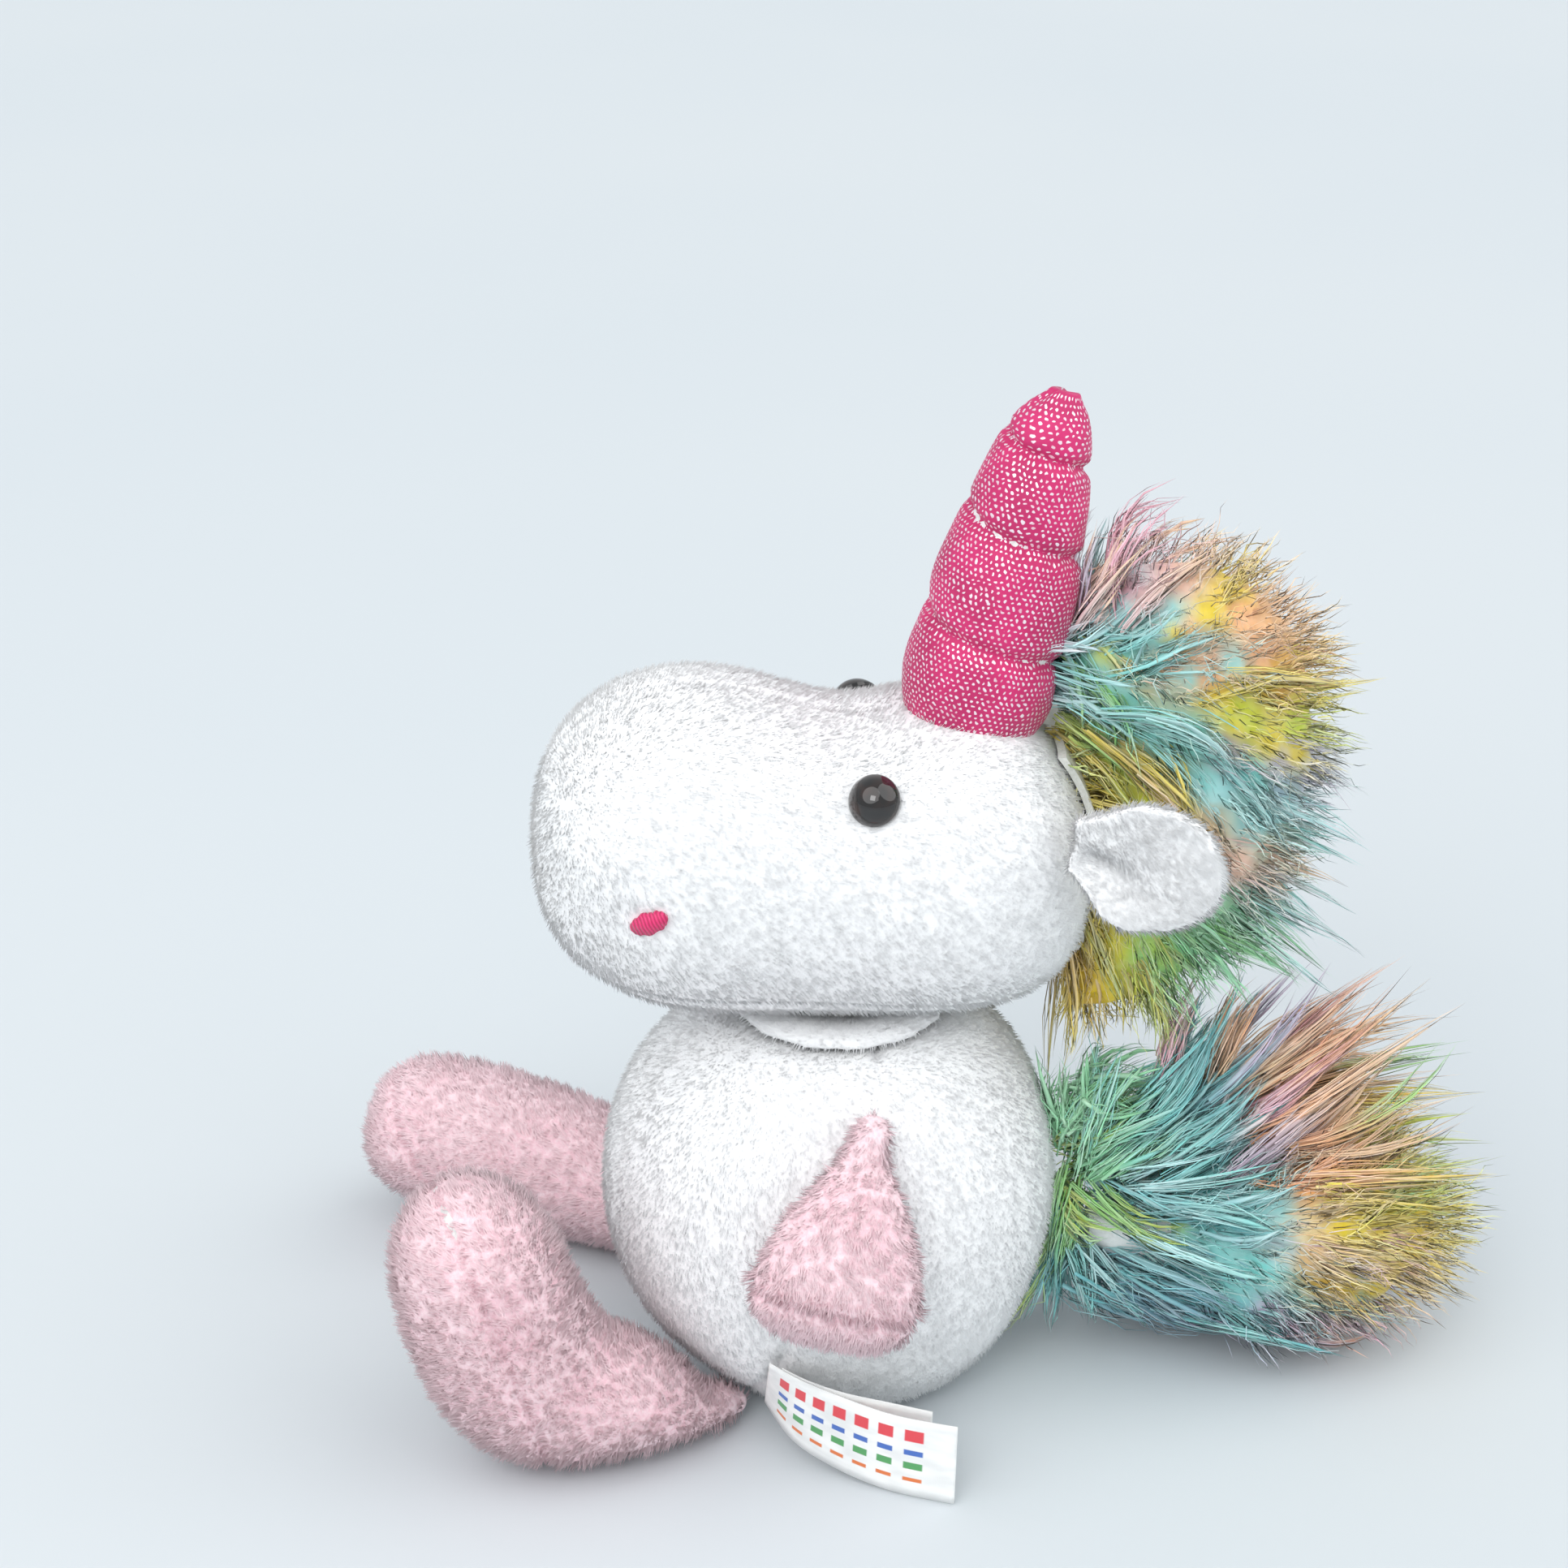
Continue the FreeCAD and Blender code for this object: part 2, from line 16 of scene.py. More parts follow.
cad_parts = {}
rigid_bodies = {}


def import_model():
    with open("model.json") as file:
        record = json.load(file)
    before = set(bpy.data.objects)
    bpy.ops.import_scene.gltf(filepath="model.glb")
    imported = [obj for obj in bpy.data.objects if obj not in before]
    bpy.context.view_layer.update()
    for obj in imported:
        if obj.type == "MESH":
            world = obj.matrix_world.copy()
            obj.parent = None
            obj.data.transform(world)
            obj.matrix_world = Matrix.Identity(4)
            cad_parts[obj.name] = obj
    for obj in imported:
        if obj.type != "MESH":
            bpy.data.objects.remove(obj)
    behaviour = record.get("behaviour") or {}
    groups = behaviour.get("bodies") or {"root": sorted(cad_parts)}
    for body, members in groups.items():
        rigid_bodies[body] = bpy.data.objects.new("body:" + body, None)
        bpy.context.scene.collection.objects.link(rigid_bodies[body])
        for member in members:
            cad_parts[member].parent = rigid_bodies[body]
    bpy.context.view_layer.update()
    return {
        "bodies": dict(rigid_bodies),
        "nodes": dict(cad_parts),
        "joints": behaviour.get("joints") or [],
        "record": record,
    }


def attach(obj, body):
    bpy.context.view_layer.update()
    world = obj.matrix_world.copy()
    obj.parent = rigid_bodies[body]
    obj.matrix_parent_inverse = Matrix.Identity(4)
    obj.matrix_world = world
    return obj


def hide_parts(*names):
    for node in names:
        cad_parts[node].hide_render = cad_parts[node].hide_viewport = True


MM = 0.001
LOG = logging.getLogger("unicorn")

Colour = tuple[float, float, float, float]
Point = tuple[float, float, float]


def dyed(red: int, green: int, blue: int) -> Colour:
    """Turn a dye, each part 0 to 255, into the linear colour that shaders use.

    Args:
        red: Share of red.
        green: Share of green.
        blue: Share of blue.

    Returns:
        The colour with an alpha of 1.
    """
    parts = [part / 255 for part in (red, green, blue)]
    linear = [part / 12.92 if part <= 0.04045 else ((part + 0.055) / 1.055) ** 2.4 for part in parts]
    return (linear[0], linear[1], linear[2], 1.0)


class Dye(Enum):
    """Colours of the long rainbow pile."""

    AQUA = dyed(128, 222, 214)
    PALE_AQUA = dyed(176, 232, 232)
    TEAL = dyed(96, 190, 196)
    SLATE = dyed(104, 160, 182)
    MINT = dyed(150, 232, 172)
    GREEN = dyed(140, 214, 104)
    LIME = dyed(206, 226, 84)
    YELLOW = dyed(243, 216, 56)
    MUSTARD = dyed(206, 182, 36)
    # Painted shade: yellow as it looks in the shadows deep in the mane and tail.
    YELLOW_IN_SHADE = dyed(214, 164, 40)
    PEACH = dyed(252, 206, 158)
    ORANGE = dyed(250, 172, 118)
    PINK = dyed(250, 178, 196)
    BLUSH = dyed(248, 206, 204)
    LILAC = dyed(214, 186, 220)
    MAUVE = dyed(198, 176, 198)
    MIST = dyed(222, 228, 236)


def unit(vectors: np.ndarray) -> np.ndarray:
    """Scale each row of an array of vectors to a length of 1."""
    return vectors / np.maximum(np.linalg.norm(vectors, axis=-1, keepdims=True), 1e-9)


def soft_step(values: np.ndarray) -> np.ndarray:
    """Ease values from 0 to 1, flat at both ends."""
    held = np.clip(values, 0.0, 1.0)
    return held * held * (3 - 2 * held)


# ---- shaders -----------------------------------------------------------------------------------------------------


class Wire:
    """A value on its way between shader nodes; Python's operators add the Math nodes."""

    def __init__(self, bench: "Bench", socket: Any) -> None:
        """Keep the bench and the output socket that the value comes from."""
        self.bench = bench
        self.socket = socket

    def math(self, operation: str, *others: Any) -> "Wire":
        """Add one Math node that takes this value first.

        Args:
            operation: The Math node's operation.
            others: Wires or numbers for its further sockets.

        Returns:
            The wire of the result.
        """
        return self.bench.math(operation, self, *others)

    def __add__(self, other: Any) -> "Wire":
        """Sum of two values."""
        return self.math("ADD", other)

    def __radd__(self, other: Any) -> "Wire":
        """Sum with a number on the left."""
        return self.bench.math("ADD", other, self)

    def __sub__(self, other: Any) -> "Wire":
        """Difference of two values."""
        return self.math("SUBTRACT", other)

    def __rsub__(self, other: Any) -> "Wire":
        """Difference from a number on the left."""
        return self.bench.math("SUBTRACT", other, self)

    def __mul__(self, other: Any) -> "Wire":
        """Product of two values."""
        return self.math("MULTIPLY", other)

    def __rmul__(self, other: Any) -> "Wire":
        """Product with a number on the left."""
        return self.bench.math("MULTIPLY", other, self)

    def ramp(self, start: float, end: float) -> "Wire":
        """Ease the value from 0 at start to 1 at end."""
        made = self.bench.node(
            "ShaderNodeMapRange",
            {"interpolation_type": "SMOOTHSTEP"},
            {"Value": self, "From Min": start, "From Max": end},
        )
        return Wire(self.bench, made.outputs[0])


class Bench:
    """One material's node tree, with one way to add any node."""

    def __init__(self, name: str) -> None:
        """Start an empty material of that name."""
        self.material = bpy.data.materials.new(name)
        self.material.use_nodes = True
        self.tree = self.material.node_tree
        self.tree.nodes.clear()

    def node(self, kind: str, settings: Optional[dict] = None, sockets: Optional[dict] = None) -> Any:
        """Add a node.

        Args:
            kind: The node's type.
            settings: Its own settings, made before its sockets are filled.
            sockets: Numbers, colours or wires by socket name or place.

        Returns:
            The new node.
        """
        made = self.tree.nodes.new(kind)
        for name, value in (settings or {}).items():
            setattr(made, name, value)
        for key, value in (sockets or {}).items():
            if isinstance(value, Wire):
                self.tree.links.new(value.socket, made.inputs[key])
            else:
                made.inputs[key].default_value = value
        return made

    def math(self, operation: str, *operands: Any) -> Wire:
        """Add one Math node.

        Args:
            operation: The Math node's operation.
            operands: Wires or numbers, in socket order.

        Returns:
            The wire of the result.
        """
        made = self.node("ShaderNodeMath", {"operation": operation}, dict(enumerate(operands)))
        return Wire(self, made.outputs[0])

    def place(self) -> Wire:
        """Where on the piece a point lies, in metres."""
        return Wire(self, self.node("ShaderNodeTexCoord").outputs["Object"])

    def map(self, name: str) -> Wire:
        """A named UV map of the piece."""
        return Wire(self, self.node("ShaderNodeUVMap", {"uv_map": name}).outputs[0])

    def paint(self, name: str) -> Wire:
        """A named colour attribute of the piece."""
        return Wire(self, self.node("ShaderNodeAttribute", {"attribute_name": name}).outputs["Color"])

    def noise(self, place: Wire, size: float, detail: float = 2.0, rough: float = 0.5) -> Wire:
        """Cloudy noise.

        Args:
            place: The coordinates that it reads.
            size: How large its blotches are, in the units of place.
            detail: Finer layers on top.
            rough: Strength of those layers.

        Returns:
            A value around 0.5.
        """
        sockets = {"Vector": place, "Scale": 1 / size, "Detail": detail, "Roughness": rough}
        return Wire(self, self.node("ShaderNodeTexNoise", None, sockets).outputs[0])

    def axis(self, place: Wire, index: int) -> Wire:
        """One coordinate, 0 to 2, of a vector."""
        return Wire(self, self.node("ShaderNodeSeparateXYZ", None, {0: place}).outputs[index])

    def mix(self, share: Any, first: Any, second: Any) -> Wire:
        """Blend two colours.

        Args:
            share: 0 for the first colour, 1 for the second.
            first: A colour or a wire.
            second: A colour or a wire.

        Returns:
            The wire of the blended colour.
        """
        made = self.node("ShaderNodeMix", {"data_type": "RGBA"}, {0: share, 6: first, 7: second})
        return Wire(self, made.outputs[2])

    def bump(self, height: Wire, strength: float, distance: float) -> Wire:
        """Turn a height into a surface normal."""
        sockets = {"Strength": strength, "Distance": distance, "Height": height}
        return Wire(self, self.node("ShaderNodeBump", None, sockets).outputs[0])

    def close(self, sockets: dict) -> bpy.types.Material:
        """Finish the material with one Principled shader.

        Args:
            sockets: What the shader's sockets take.

        Returns:
            The finished material.
        """
        shader = self.node("ShaderNodeBsdfPrincipled", None, sockets)
        surface = Wire(self, shader.outputs[0])
        self.node("ShaderNodeOutputMaterial", None, {"Surface": surface})
        return self.material


@dataclass(frozen=True)
class KnitBacking:
    """Plush cloth at the roots of its pile: tufts in rows over a knit, darker in the hollows between the tufts as
    painted shade.
    """

    name: str
    pale: Colour
    shadow_tone: Colour
    tuft: float = 0.9 * MM

    def material(self) -> bpy.types.Material:
        """Make the cloth's material."""
        bench = Bench(self.name)
        place = bench.place()
        tufts = bench.noise(place, self.tuft, 3.0, 0.6)
        drift = bench.noise(place, 14 * MM, 2.0)
        # Painted shade: the colour follows the tufts' bump and is darker where it is low; the broad drift is random
        # tone.
        tone = (tufts * 0.6 + drift * 0.4).ramp(0.36, 0.62)
        return bench.close({
            "Base Color": bench.mix(tone, self.shadow_tone, self.pale),
            "Roughness": 0.95,
            "Specular IOR Level": 0.15,
            "Sheen Weight": 0.2,
            "Normal": bench.bump(tufts, 0.5, 0.35 * MM),
        })


@dataclass(frozen=True)
class FibreFinish:
    """Dyed pile fibres; their colour is painted on them, from root to tip, with painted shade and light in it."""

    name: str
    roughness: float
    sheen: float = 0.15

    def material(self) -> bpy.types.Material:
        """Make the fibres' material."""
        bench = Bench(self.name)
        fleck = bench.noise(bench.place(), 2.5 * MM, 2.0).ramp(0.3, 0.75)
        paint = bench.paint("dye")
        return bench.close({
            "Base Color": bench.mix(fleck * 0.1, paint, (1.0, 1.0, 1.0, 1.0)),
            "Roughness": self.roughness,
            "Specular IOR Level": 0.15,
            "Sheen Weight": self.sheen,
        })


@dataclass(frozen=True)
class FoilCloth:
    """Woven magenta cloth printed with small silver dots."""

    name: str = "foil_dot_cloth"
    cloth: Colour = dyed(206, 36, 108)
    shade: Colour = dyed(184, 26, 94)
    foil: Colour = dyed(250, 232, 240)
    pitch: float = 0.0118
    dot: float = 0.22

    def spot(self, along: Wire, up: Wire) -> Wire:
        """Squared distance from the nearest dot of a lattice, in steps of its pitch.

        Args:
            along: Place along the strip, in steps.
            up: Place up the strip, in steps.

        Returns:
            The squared distance.
        """
        tall = math.sqrt(3)
        right = along.math("FRACT") - 0.5
        over = ((up * (1 / tall)).math("FRACT") - 0.5) * tall
        return right * right + over * over

    def material(self) -> bpy.types.Material:
        """Make the printed cloth's material."""
        bench = Bench(self.name)
        strip = bench.map("strip")
        sway = bench.noise(strip, 0.05, 1.0) * 1.2
        jitter = bench.noise(strip, 0.012, 1.0) * 0.9
        along = bench.axis(strip, 0) * (1 / self.pitch) + sway + jitter
        up = bench.axis(strip, 1) * (1 / self.pitch) + sway - jitter + 40.0
        shifted = self.spot(along + 0.5, up + math.sqrt(3) / 2)
        apart = self.spot(along, up).math("MINIMUM", shifted).math("SQRT")
        dots = 1 - apart.ramp(self.dot - 0.05, self.dot + 0.05)
        worn = bench.noise(strip, 0.03, 2.0).ramp(0.28, 0.5)
        printed = dots * (worn * 0.45 + 0.55)
        weave = bench.noise(strip, 0.0028, 2.0, 0.7)
        drift = bench.noise(bench.place(), 9 * MM, 2.0).ramp(0.3, 0.7)
        cloth = bench.mix(drift, self.shade, self.cloth)
        return bench.close({
            "Base Color": bench.mix(printed, cloth, self.foil),
            "Metallic": printed * 0.55,
            "Roughness": 0.62 - printed * 0.34,
            "Sheen Weight": 0.1,
            "Normal": bench.bump(weave * 0.5 + dots * 0.5, 0.5, 0.15 * MM),
        })


@dataclass(frozen=True)
class EyeGloss:
    """Polished dark plastic of the safety eyes."""

    name: str = "eye_gloss"
    dark: Colour = dyed(14, 9, 8)
    warm: Colour = dyed(44, 24, 16)

    def material(self) -> bpy.types.Material:
        """Make the plastic's material."""
        bench = Bench(self.name)
        cloud = bench.noise(bench.place(), 3 * MM, 1.0).ramp(0.35, 0.75)
        return bench.close({
            "Base Color": bench.mix(cloud, self.dark, self.warm),
            "Roughness": 0.05,
            "Coat Weight": 0.8,
            "Coat Roughness": 0.02,
        })


@dataclass(frozen=True)
class SatinThread:
    """Embroidery thread laid side by side, with painted shade between the stitches and lighter thread tops."""

    name: str = "satin_thread"
    bright: Colour = dyed(232, 52, 118)
    shadow_tone: Colour = dyed(190, 24, 84)

    def material(self) -> bpy.types.Material:
        """Make the thread's material."""
        bench = Bench(self.name)
        across = bench.axis(bench.map("stitch"), 0)
        rows = (across * (2 * math.pi * 11)).math("SINE") * 0.5 + 0.5
        strand = bench.noise(bench.place(), 0.3 * MM, 2.0)
        return bench.close({
            # Painted shade: the colour follows the stitch rows, darker between threads and lighter on their tops; the
            # strand noise is random tone.
            "Base Color": bench.mix((rows * 0.7 + strand * 0.3).ramp(0.1, 0.8), self.shadow_tone, self.bright),
            "Roughness": 0.42,
            "Sheen Weight": 0.2,
            "Normal": bench.bump(rows, 0.6, 0.2 * MM),
        })


@dataclass(frozen=True)
class SatinTape:
    """White satin label tape with a plain printed pattern of stripes and dashes."""

    name: str
    rows: tuple[tuple[float, float, Colour], ...]
    dashes: float
    white: Colour = dyed(250, 250, 248)
    shade: Colour = dyed(232, 233, 232)

    def material(self) -> bpy.types.Material:
        """Make the tape's material."""
        bench = Bench(self.name)
        place = bench.map("tape")
        along, up = bench.axis(place, 0), bench.axis(place, 1)
        weave = (along * 900).math("SINE") * 0.25 + (up * 700).math("SINE") * 0.25 + 0.5
        colour: Any = bench.mix(bench.noise(place, 0.2, 2.0).ramp(0.3, 0.7), self.shade, self.white)
        steps = (along * self.dashes).math("FRACT")
        dash = steps.ramp(0.10, 0.16) * (1 - steps.ramp(0.70, 0.76))
        inside = along.ramp(0.10, 0.11) * (1 - along.ramp(0.86, 0.87))
        for low, high, ink in self.rows:
            band = up.ramp(low, low + 0.012) * (1 - up.ramp(high - 0.012, high))
            colour = bench.mix(band * inside * dash, colour, ink)
        return bench.close({
            "Base Color": colour,
            "Roughness": 0.38,
            "Sheen Weight": 0.2,
            "Normal": bench.bump(weave, 0.2, 0.05 * MM),
        })


@dataclass(frozen=True)
class FluffFill:
    """Polyester fibre filling."""

    name: str = "fluff_fill"

    def material(self) -> bpy.types.Material:
        """Make the filling's material."""
        bench = Bench(self.name)
        fibre = bench.noise(bench.place(), 1.5 * MM, 4.0, 0.7)
        return bench.close({
            # Painted shade: the filling is darker where its fibre bump is low, in the hollows between fibres.
            "Base Color": bench.mix(fibre.ramp(0.3, 0.7), dyed(214, 214, 212), dyed(246, 246, 244)),
            "Roughness": 0.9,
            "Normal": bench.bump(fibre, 0.6, 0.5 * MM),
        })


@dataclass(frozen=True)
class MouldedPlastic:
    """Milky plastic of the locking washers."""

    name: str = "washer_plastic"

    def material(self) -> bpy.types.Material:
        """Make the plastic's material."""
        bench = Bench(self.name)
        flow = bench.noise(bench.place(), 4 * MM, 2.0)
        return bench.close({
            "Base Color": bench.mix(flow.ramp(0.3, 0.7), dyed(222, 226, 228), dyed(240, 242, 243)),
            "Roughness": 0.35,
            "Normal": bench.bump(flow, 0.15, 0.1 * MM),
        })


@dataclass(frozen=True)
class StudioPaper:
    """Pale floor paper."""

    name: str = "studio_paper"
    tone: Colour = dyed(204, 210, 214)

    def material(self) -> bpy.types.Material:
        """Make the paper's material."""
        bench = Bench(self.name)
        grain = bench.noise(bench.place(), 0.5, 2.0).ramp(0.2, 0.8)
        return bench.close({
            "Base Color": bench.mix(grain, self.tone, dyed(207, 212, 215)),
            "Roughness": 0.9,
            "Specular IOR Level": 0.1,
        })


# ---- meshes ------------------------------------------------------------------------------------------------------


def piece_from(form: bmesh.types.BMesh, name: str) -> bpy.types.Object:
    """Turn a finished form into a smooth-shaded object at the origin.

    Args:
        form: The form, freed here.
        name: The piece's name.

    Returns:
        The object, in the scene.
    """
    mesh = bpy.data.meshes.new(name)
    form.to_mesh(mesh)
    form.free()
    mesh.shade_smooth()
    piece = bpy.data.objects.new(name, mesh)
    bpy.context.scene.collection.objects.link(piece)
    return piece


def settle(piece: bpy.types.Object) -> None:
    """Apply all modifiers of a piece to its mesh."""
    graph = bpy.context.evaluated_depsgraph_get()
    mesh = bpy.data.meshes.new_from_object(piece.evaluated_get(graph))
    piece.modifiers.clear()
    piece.data = mesh
    mesh.shade_smooth()


def points_of(piece: bpy.types.Object) -> np.ndarray:
    """Read a piece's points as rows of three."""
    flat = np.empty(len(piece.data.vertices) * 3)
    piece.data.vertices.foreach_get("co", flat)
    return flat.reshape(-1, 3)


def normals_of(piece: bpy.types.Object) -> np.ndarray:
    """Read a piece's point normals as rows of three."""
    flat = np.empty(len(piece.data.vertices) * 3)
    piece.data.vertex_normals.foreach_get("vector", flat)
    return flat.reshape(-1, 3)


def move_points(piece: bpy.types.Object, points: np.ndarray) -> None:
    """Write a piece's points back, none below the floor."""
    lifted = points.copy()
    lifted[:, 2] = np.maximum(lifted[:, 2], 0.25 * MM)
    piece.data.vertices.foreach_set("co", lifted.ravel())
    piece.data.update()


def gathered(nodes: dict, names: Sequence[str]) -> bmesh.types.BMesh:
    """Merge copies of CAD solids into one form.

    Args:
        nodes: The frame's nodes.
        names: The solids to take.

    Returns:
        A new form; the nodes stay as they are.
    """
    form = bmesh.new()
    for name in names:
        form.from_mesh(nodes[name].data)
    bmesh.ops.remove_doubles(form, verts=form.verts, dist=1e-6)
    return form


def keep_largest(form: bmesh.types.BMesh) -> None:
    """Delete every island of a form but the one with most points."""
    waiting = set(form.verts)
    islands = []
    while waiting:
        start = waiting.pop()
        island, edge = [start], [start]
        while edge:
            for link in edge.pop().link_edges:
                for near in link.verts:
                    if near in waiting:
                        waiting.discard(near)
                        island.append(near)
                        edge.append(near)
        islands.append(island)
    islands.sort(key=len)
    for island in islands[:-1]:
        bmesh.ops.delete(form, geom=island, context="VERTS")


def remeshed(piece: bpy.types.Object, voxel: float, smoothing: int) -> None:
    """Rebuild a piece as one even closed skin and smooth it.

    Args:
        piece: The piece, changed in place.
        voxel: Size of the new faces in metres.
        smoothing: How many times each point moves towards its neighbours.
    """
    remesh = piece.modifiers.new("voxels", "REMESH")
    remesh.mode = "VOXEL"
    remesh.voxel_size = voxel
    settle(piece)
    form = bmesh.new()
    form.from_mesh(piece.data)
    keep_largest(form)
    for _ in range(smoothing):
        bmesh.ops.smooth_vert(
            form, verts=form.verts, factor=0.5, use_axis_x=True, use_axis_y=True, use_axis_z=True
        )
    form.to_mesh(piece.data)
    form.free()
    piece.data.shade_smooth()


def painted(mesh: bpy.types.Mesh, colours: np.ndarray) -> None:
    """Store one colour per point as the attribute named dye: the dye with painted shade and light in it."""
    layer = mesh.color_attributes.new("dye", "FLOAT_COLOR", "POINT")
    layer.data.foreach_set("color", np.ascontiguousarray(colours, dtype=np.float32).ravel())


def spike_pattern(sides: int, levels: int) -> tuple[np.ndarray, np.ndarray, list[list[int]]]:
    """Make one slim cone, cut across into levels, as the pattern for fibres.

    Args:
        sides: Sides of its cross-section.
        levels: Lengths that it is cut into.

    Returns:
        Each point's level, its place across, and the faces.
    """
    form = bmesh.new()
    bmesh.ops.create_cone(
        form, cap_ends=True, segments=sides, radius1=1.0, radius2=0.0, depth=1.0,
        matrix=Matrix.Translation((0, 0, 0.5)),
    )
    bmesh.ops.remove_doubles(form, verts=form.verts, dist=1e-5)
    for level in range(1, levels):
        everything = form.verts[:] + form.edges[:] + form.faces[:]
        cut = (0, 0, level / levels)
        bmesh.ops.bisect_plane(form, geom=everything, plane_co=cut, plane_no=(0, 0, 1))
    bmesh.ops.recalc_face_normals(form, faces=form.faces)
    form.verts.index_update()
    places = np.array([vertex.co[:] for vertex in form.verts])
    faces = [[vertex.index for vertex in face.verts] for face in form.faces]
    form.free()
    level_of = np.rint(places[:, 2] * levels).astype(int)
    return level_of, unit(np.c_[places[:, :2], np.full(len(places), 1e-12)])[:, :2], faces


def copied_out(
    name: str, points: np.ndarray, faces: list[list[int]], normals: np.ndarray, colours: np.ndarray
) -> bpy.types.Object:
    """Build one mesh from many placed copies of a pattern.

    Args:
        name: The piece's name.
        points: Copies by points by three.
        faces: The pattern's faces.
        normals: A shading normal for every point.
        colours: A colour for every point.

    Returns:
        The object, in the scene.
    """
    copies, size = points.shape[:2]
    sizes = np.array([len(face) for face in faces])
    corners = np.concatenate([np.array(face) for face in faces])
    shifts = np.arange(copies)[:, None] * size
    mesh = bpy.data.meshes.new(name)
    mesh.vertices.add(copies * size)
    mesh.vertices.foreach_set("co", points.reshape(-1))
    mesh.loops.add(copies * len(corners))
    mesh.loops.foreach_set("vertex_index", (corners[None, :] + shifts).ravel())
    mesh.polygons.add(copies * len(faces))
    starts = np.tile(np.cumsum(sizes) - sizes, (copies, 1)) + np.arange(copies)[:, None] * len(corners)
    mesh.polygons.foreach_set("loop_start", starts.ravel())
    mesh.update(calc_edges=True)
    mesh.validate()
    mesh.shade_smooth()
    painted(mesh, colours.reshape(-1, 4))
    mesh.normals_split_custom_set_from_vertices(unit(normals.reshape(-1, 3)).tolist())
    piece = bpy.data.objects.new(name, mesh)
    bpy.context.scene.collection.objects.link(piece)
    return piece


def scattered(piece: bpy.types.Object, count: int, rng: np.random.Generator) -> tuple[np.ndarray, np.ndarray]:
    """Scatter places evenly over a piece.

    Args:
        piece: The piece.
        count: How many places.
        rng: Random source.

    Returns:
        The places and the piece's normals there.
    """
    mesh = piece.data
    mesh.calc_loop_triangles()
    corners = np.empty(len(mesh.loop_triangles) * 3, np.int32)
    mesh.loop_triangles.foreach_get("vertices", corners)
    corners = corners.reshape(-1, 3)
    points, normals = points_of(piece), normals_of(piece)
    first, second, third = points[corners[:, 0]], points[corners[:, 1]], points[corners[:, 2]]
    area = np.linalg.norm(np.cross(second - first, third - first), axis=1)
    chosen = rng.choice(len(area), count, p=area / area.sum())
    shares = rng.dirichlet((1.0, 1.0, 1.0), count)[:, :, None]
    places = (points[corners[chosen]] * shares).sum(1)
    return places, unit((normals[corners[chosen]] * shares).sum(1))


def dress(piece: bpy.types.Object, material: bpy.types.Material) -> None:
    """Give a piece one material."""
    piece.data.materials.clear()
    piece.data.materials.append(material)


def redress(node: bpy.types.Object, material: bpy.types.Material) -> None:
    """Give a CAD node's slots a better material, its mesh untouched."""
    for place in node.material_slots:
        place.link = "OBJECT"
        place.material = material


# ---- sewn skins --------------------------------------------------------------------------------------------------


@dataclass(frozen=True)
class Seam:
    """A sewn line, where a plane crosses a skin within a box; lengths in millimetres."""

    through: Point
    across: Point
    low: Point = (-300.0, -300.0, -300.0)
    high: Point = (300.0, 300.0, 300.0)
    width: float = 1.1
    depth: float = 0.8
    fade: float = 4.0

    def pull(self, points: np.ndarray) -> np.ndarray:
        """Tell how near each point is to the seam.

        Args:
            points: Points in metres.

        Returns:
            1 on the seam, falling to 0 beside it.
        """
        away = (points / MM - np.array(self.through)) @ unit(np.array(self.across))
        near = np.exp(-((away / self.width) ** 2))
        for axis in range(3):
            near *= soft_step((points[:, axis] / MM - self.low[axis]) / self.fade)
            near *= soft_step((self.high[axis] - points[:, axis] / MM) / self.fade)
        return near


@dataclass(frozen=True)
class Bald:
    """A round place of a skin: where no pile grows, or a lump of stuffing; in millimetres."""

    centre: Point
    radius: float


@dataclass(frozen=True)
class Pile:
    """Short pile of a plush cloth; lengths in millimetres. Its roots are coloured darker than its tips as painted
    shade among the fibres, and its darkest colour is painted shade in seam creases.
    """

    count: int
    length: float
    thickness: float
    comb: Point
    lean: float
    stray: float
    clump: float
    clump_size: int
    root: Colour
    tip: Colour
    shadow_tone: Colour
    finish: FibreFinish


@dataclass(frozen=True)
class Fringe:
    """A band of longer, ruffled pile beside a seam, in millimetres from its plane."""

    seam: Seam
    start: float
    end: float
    longer: float


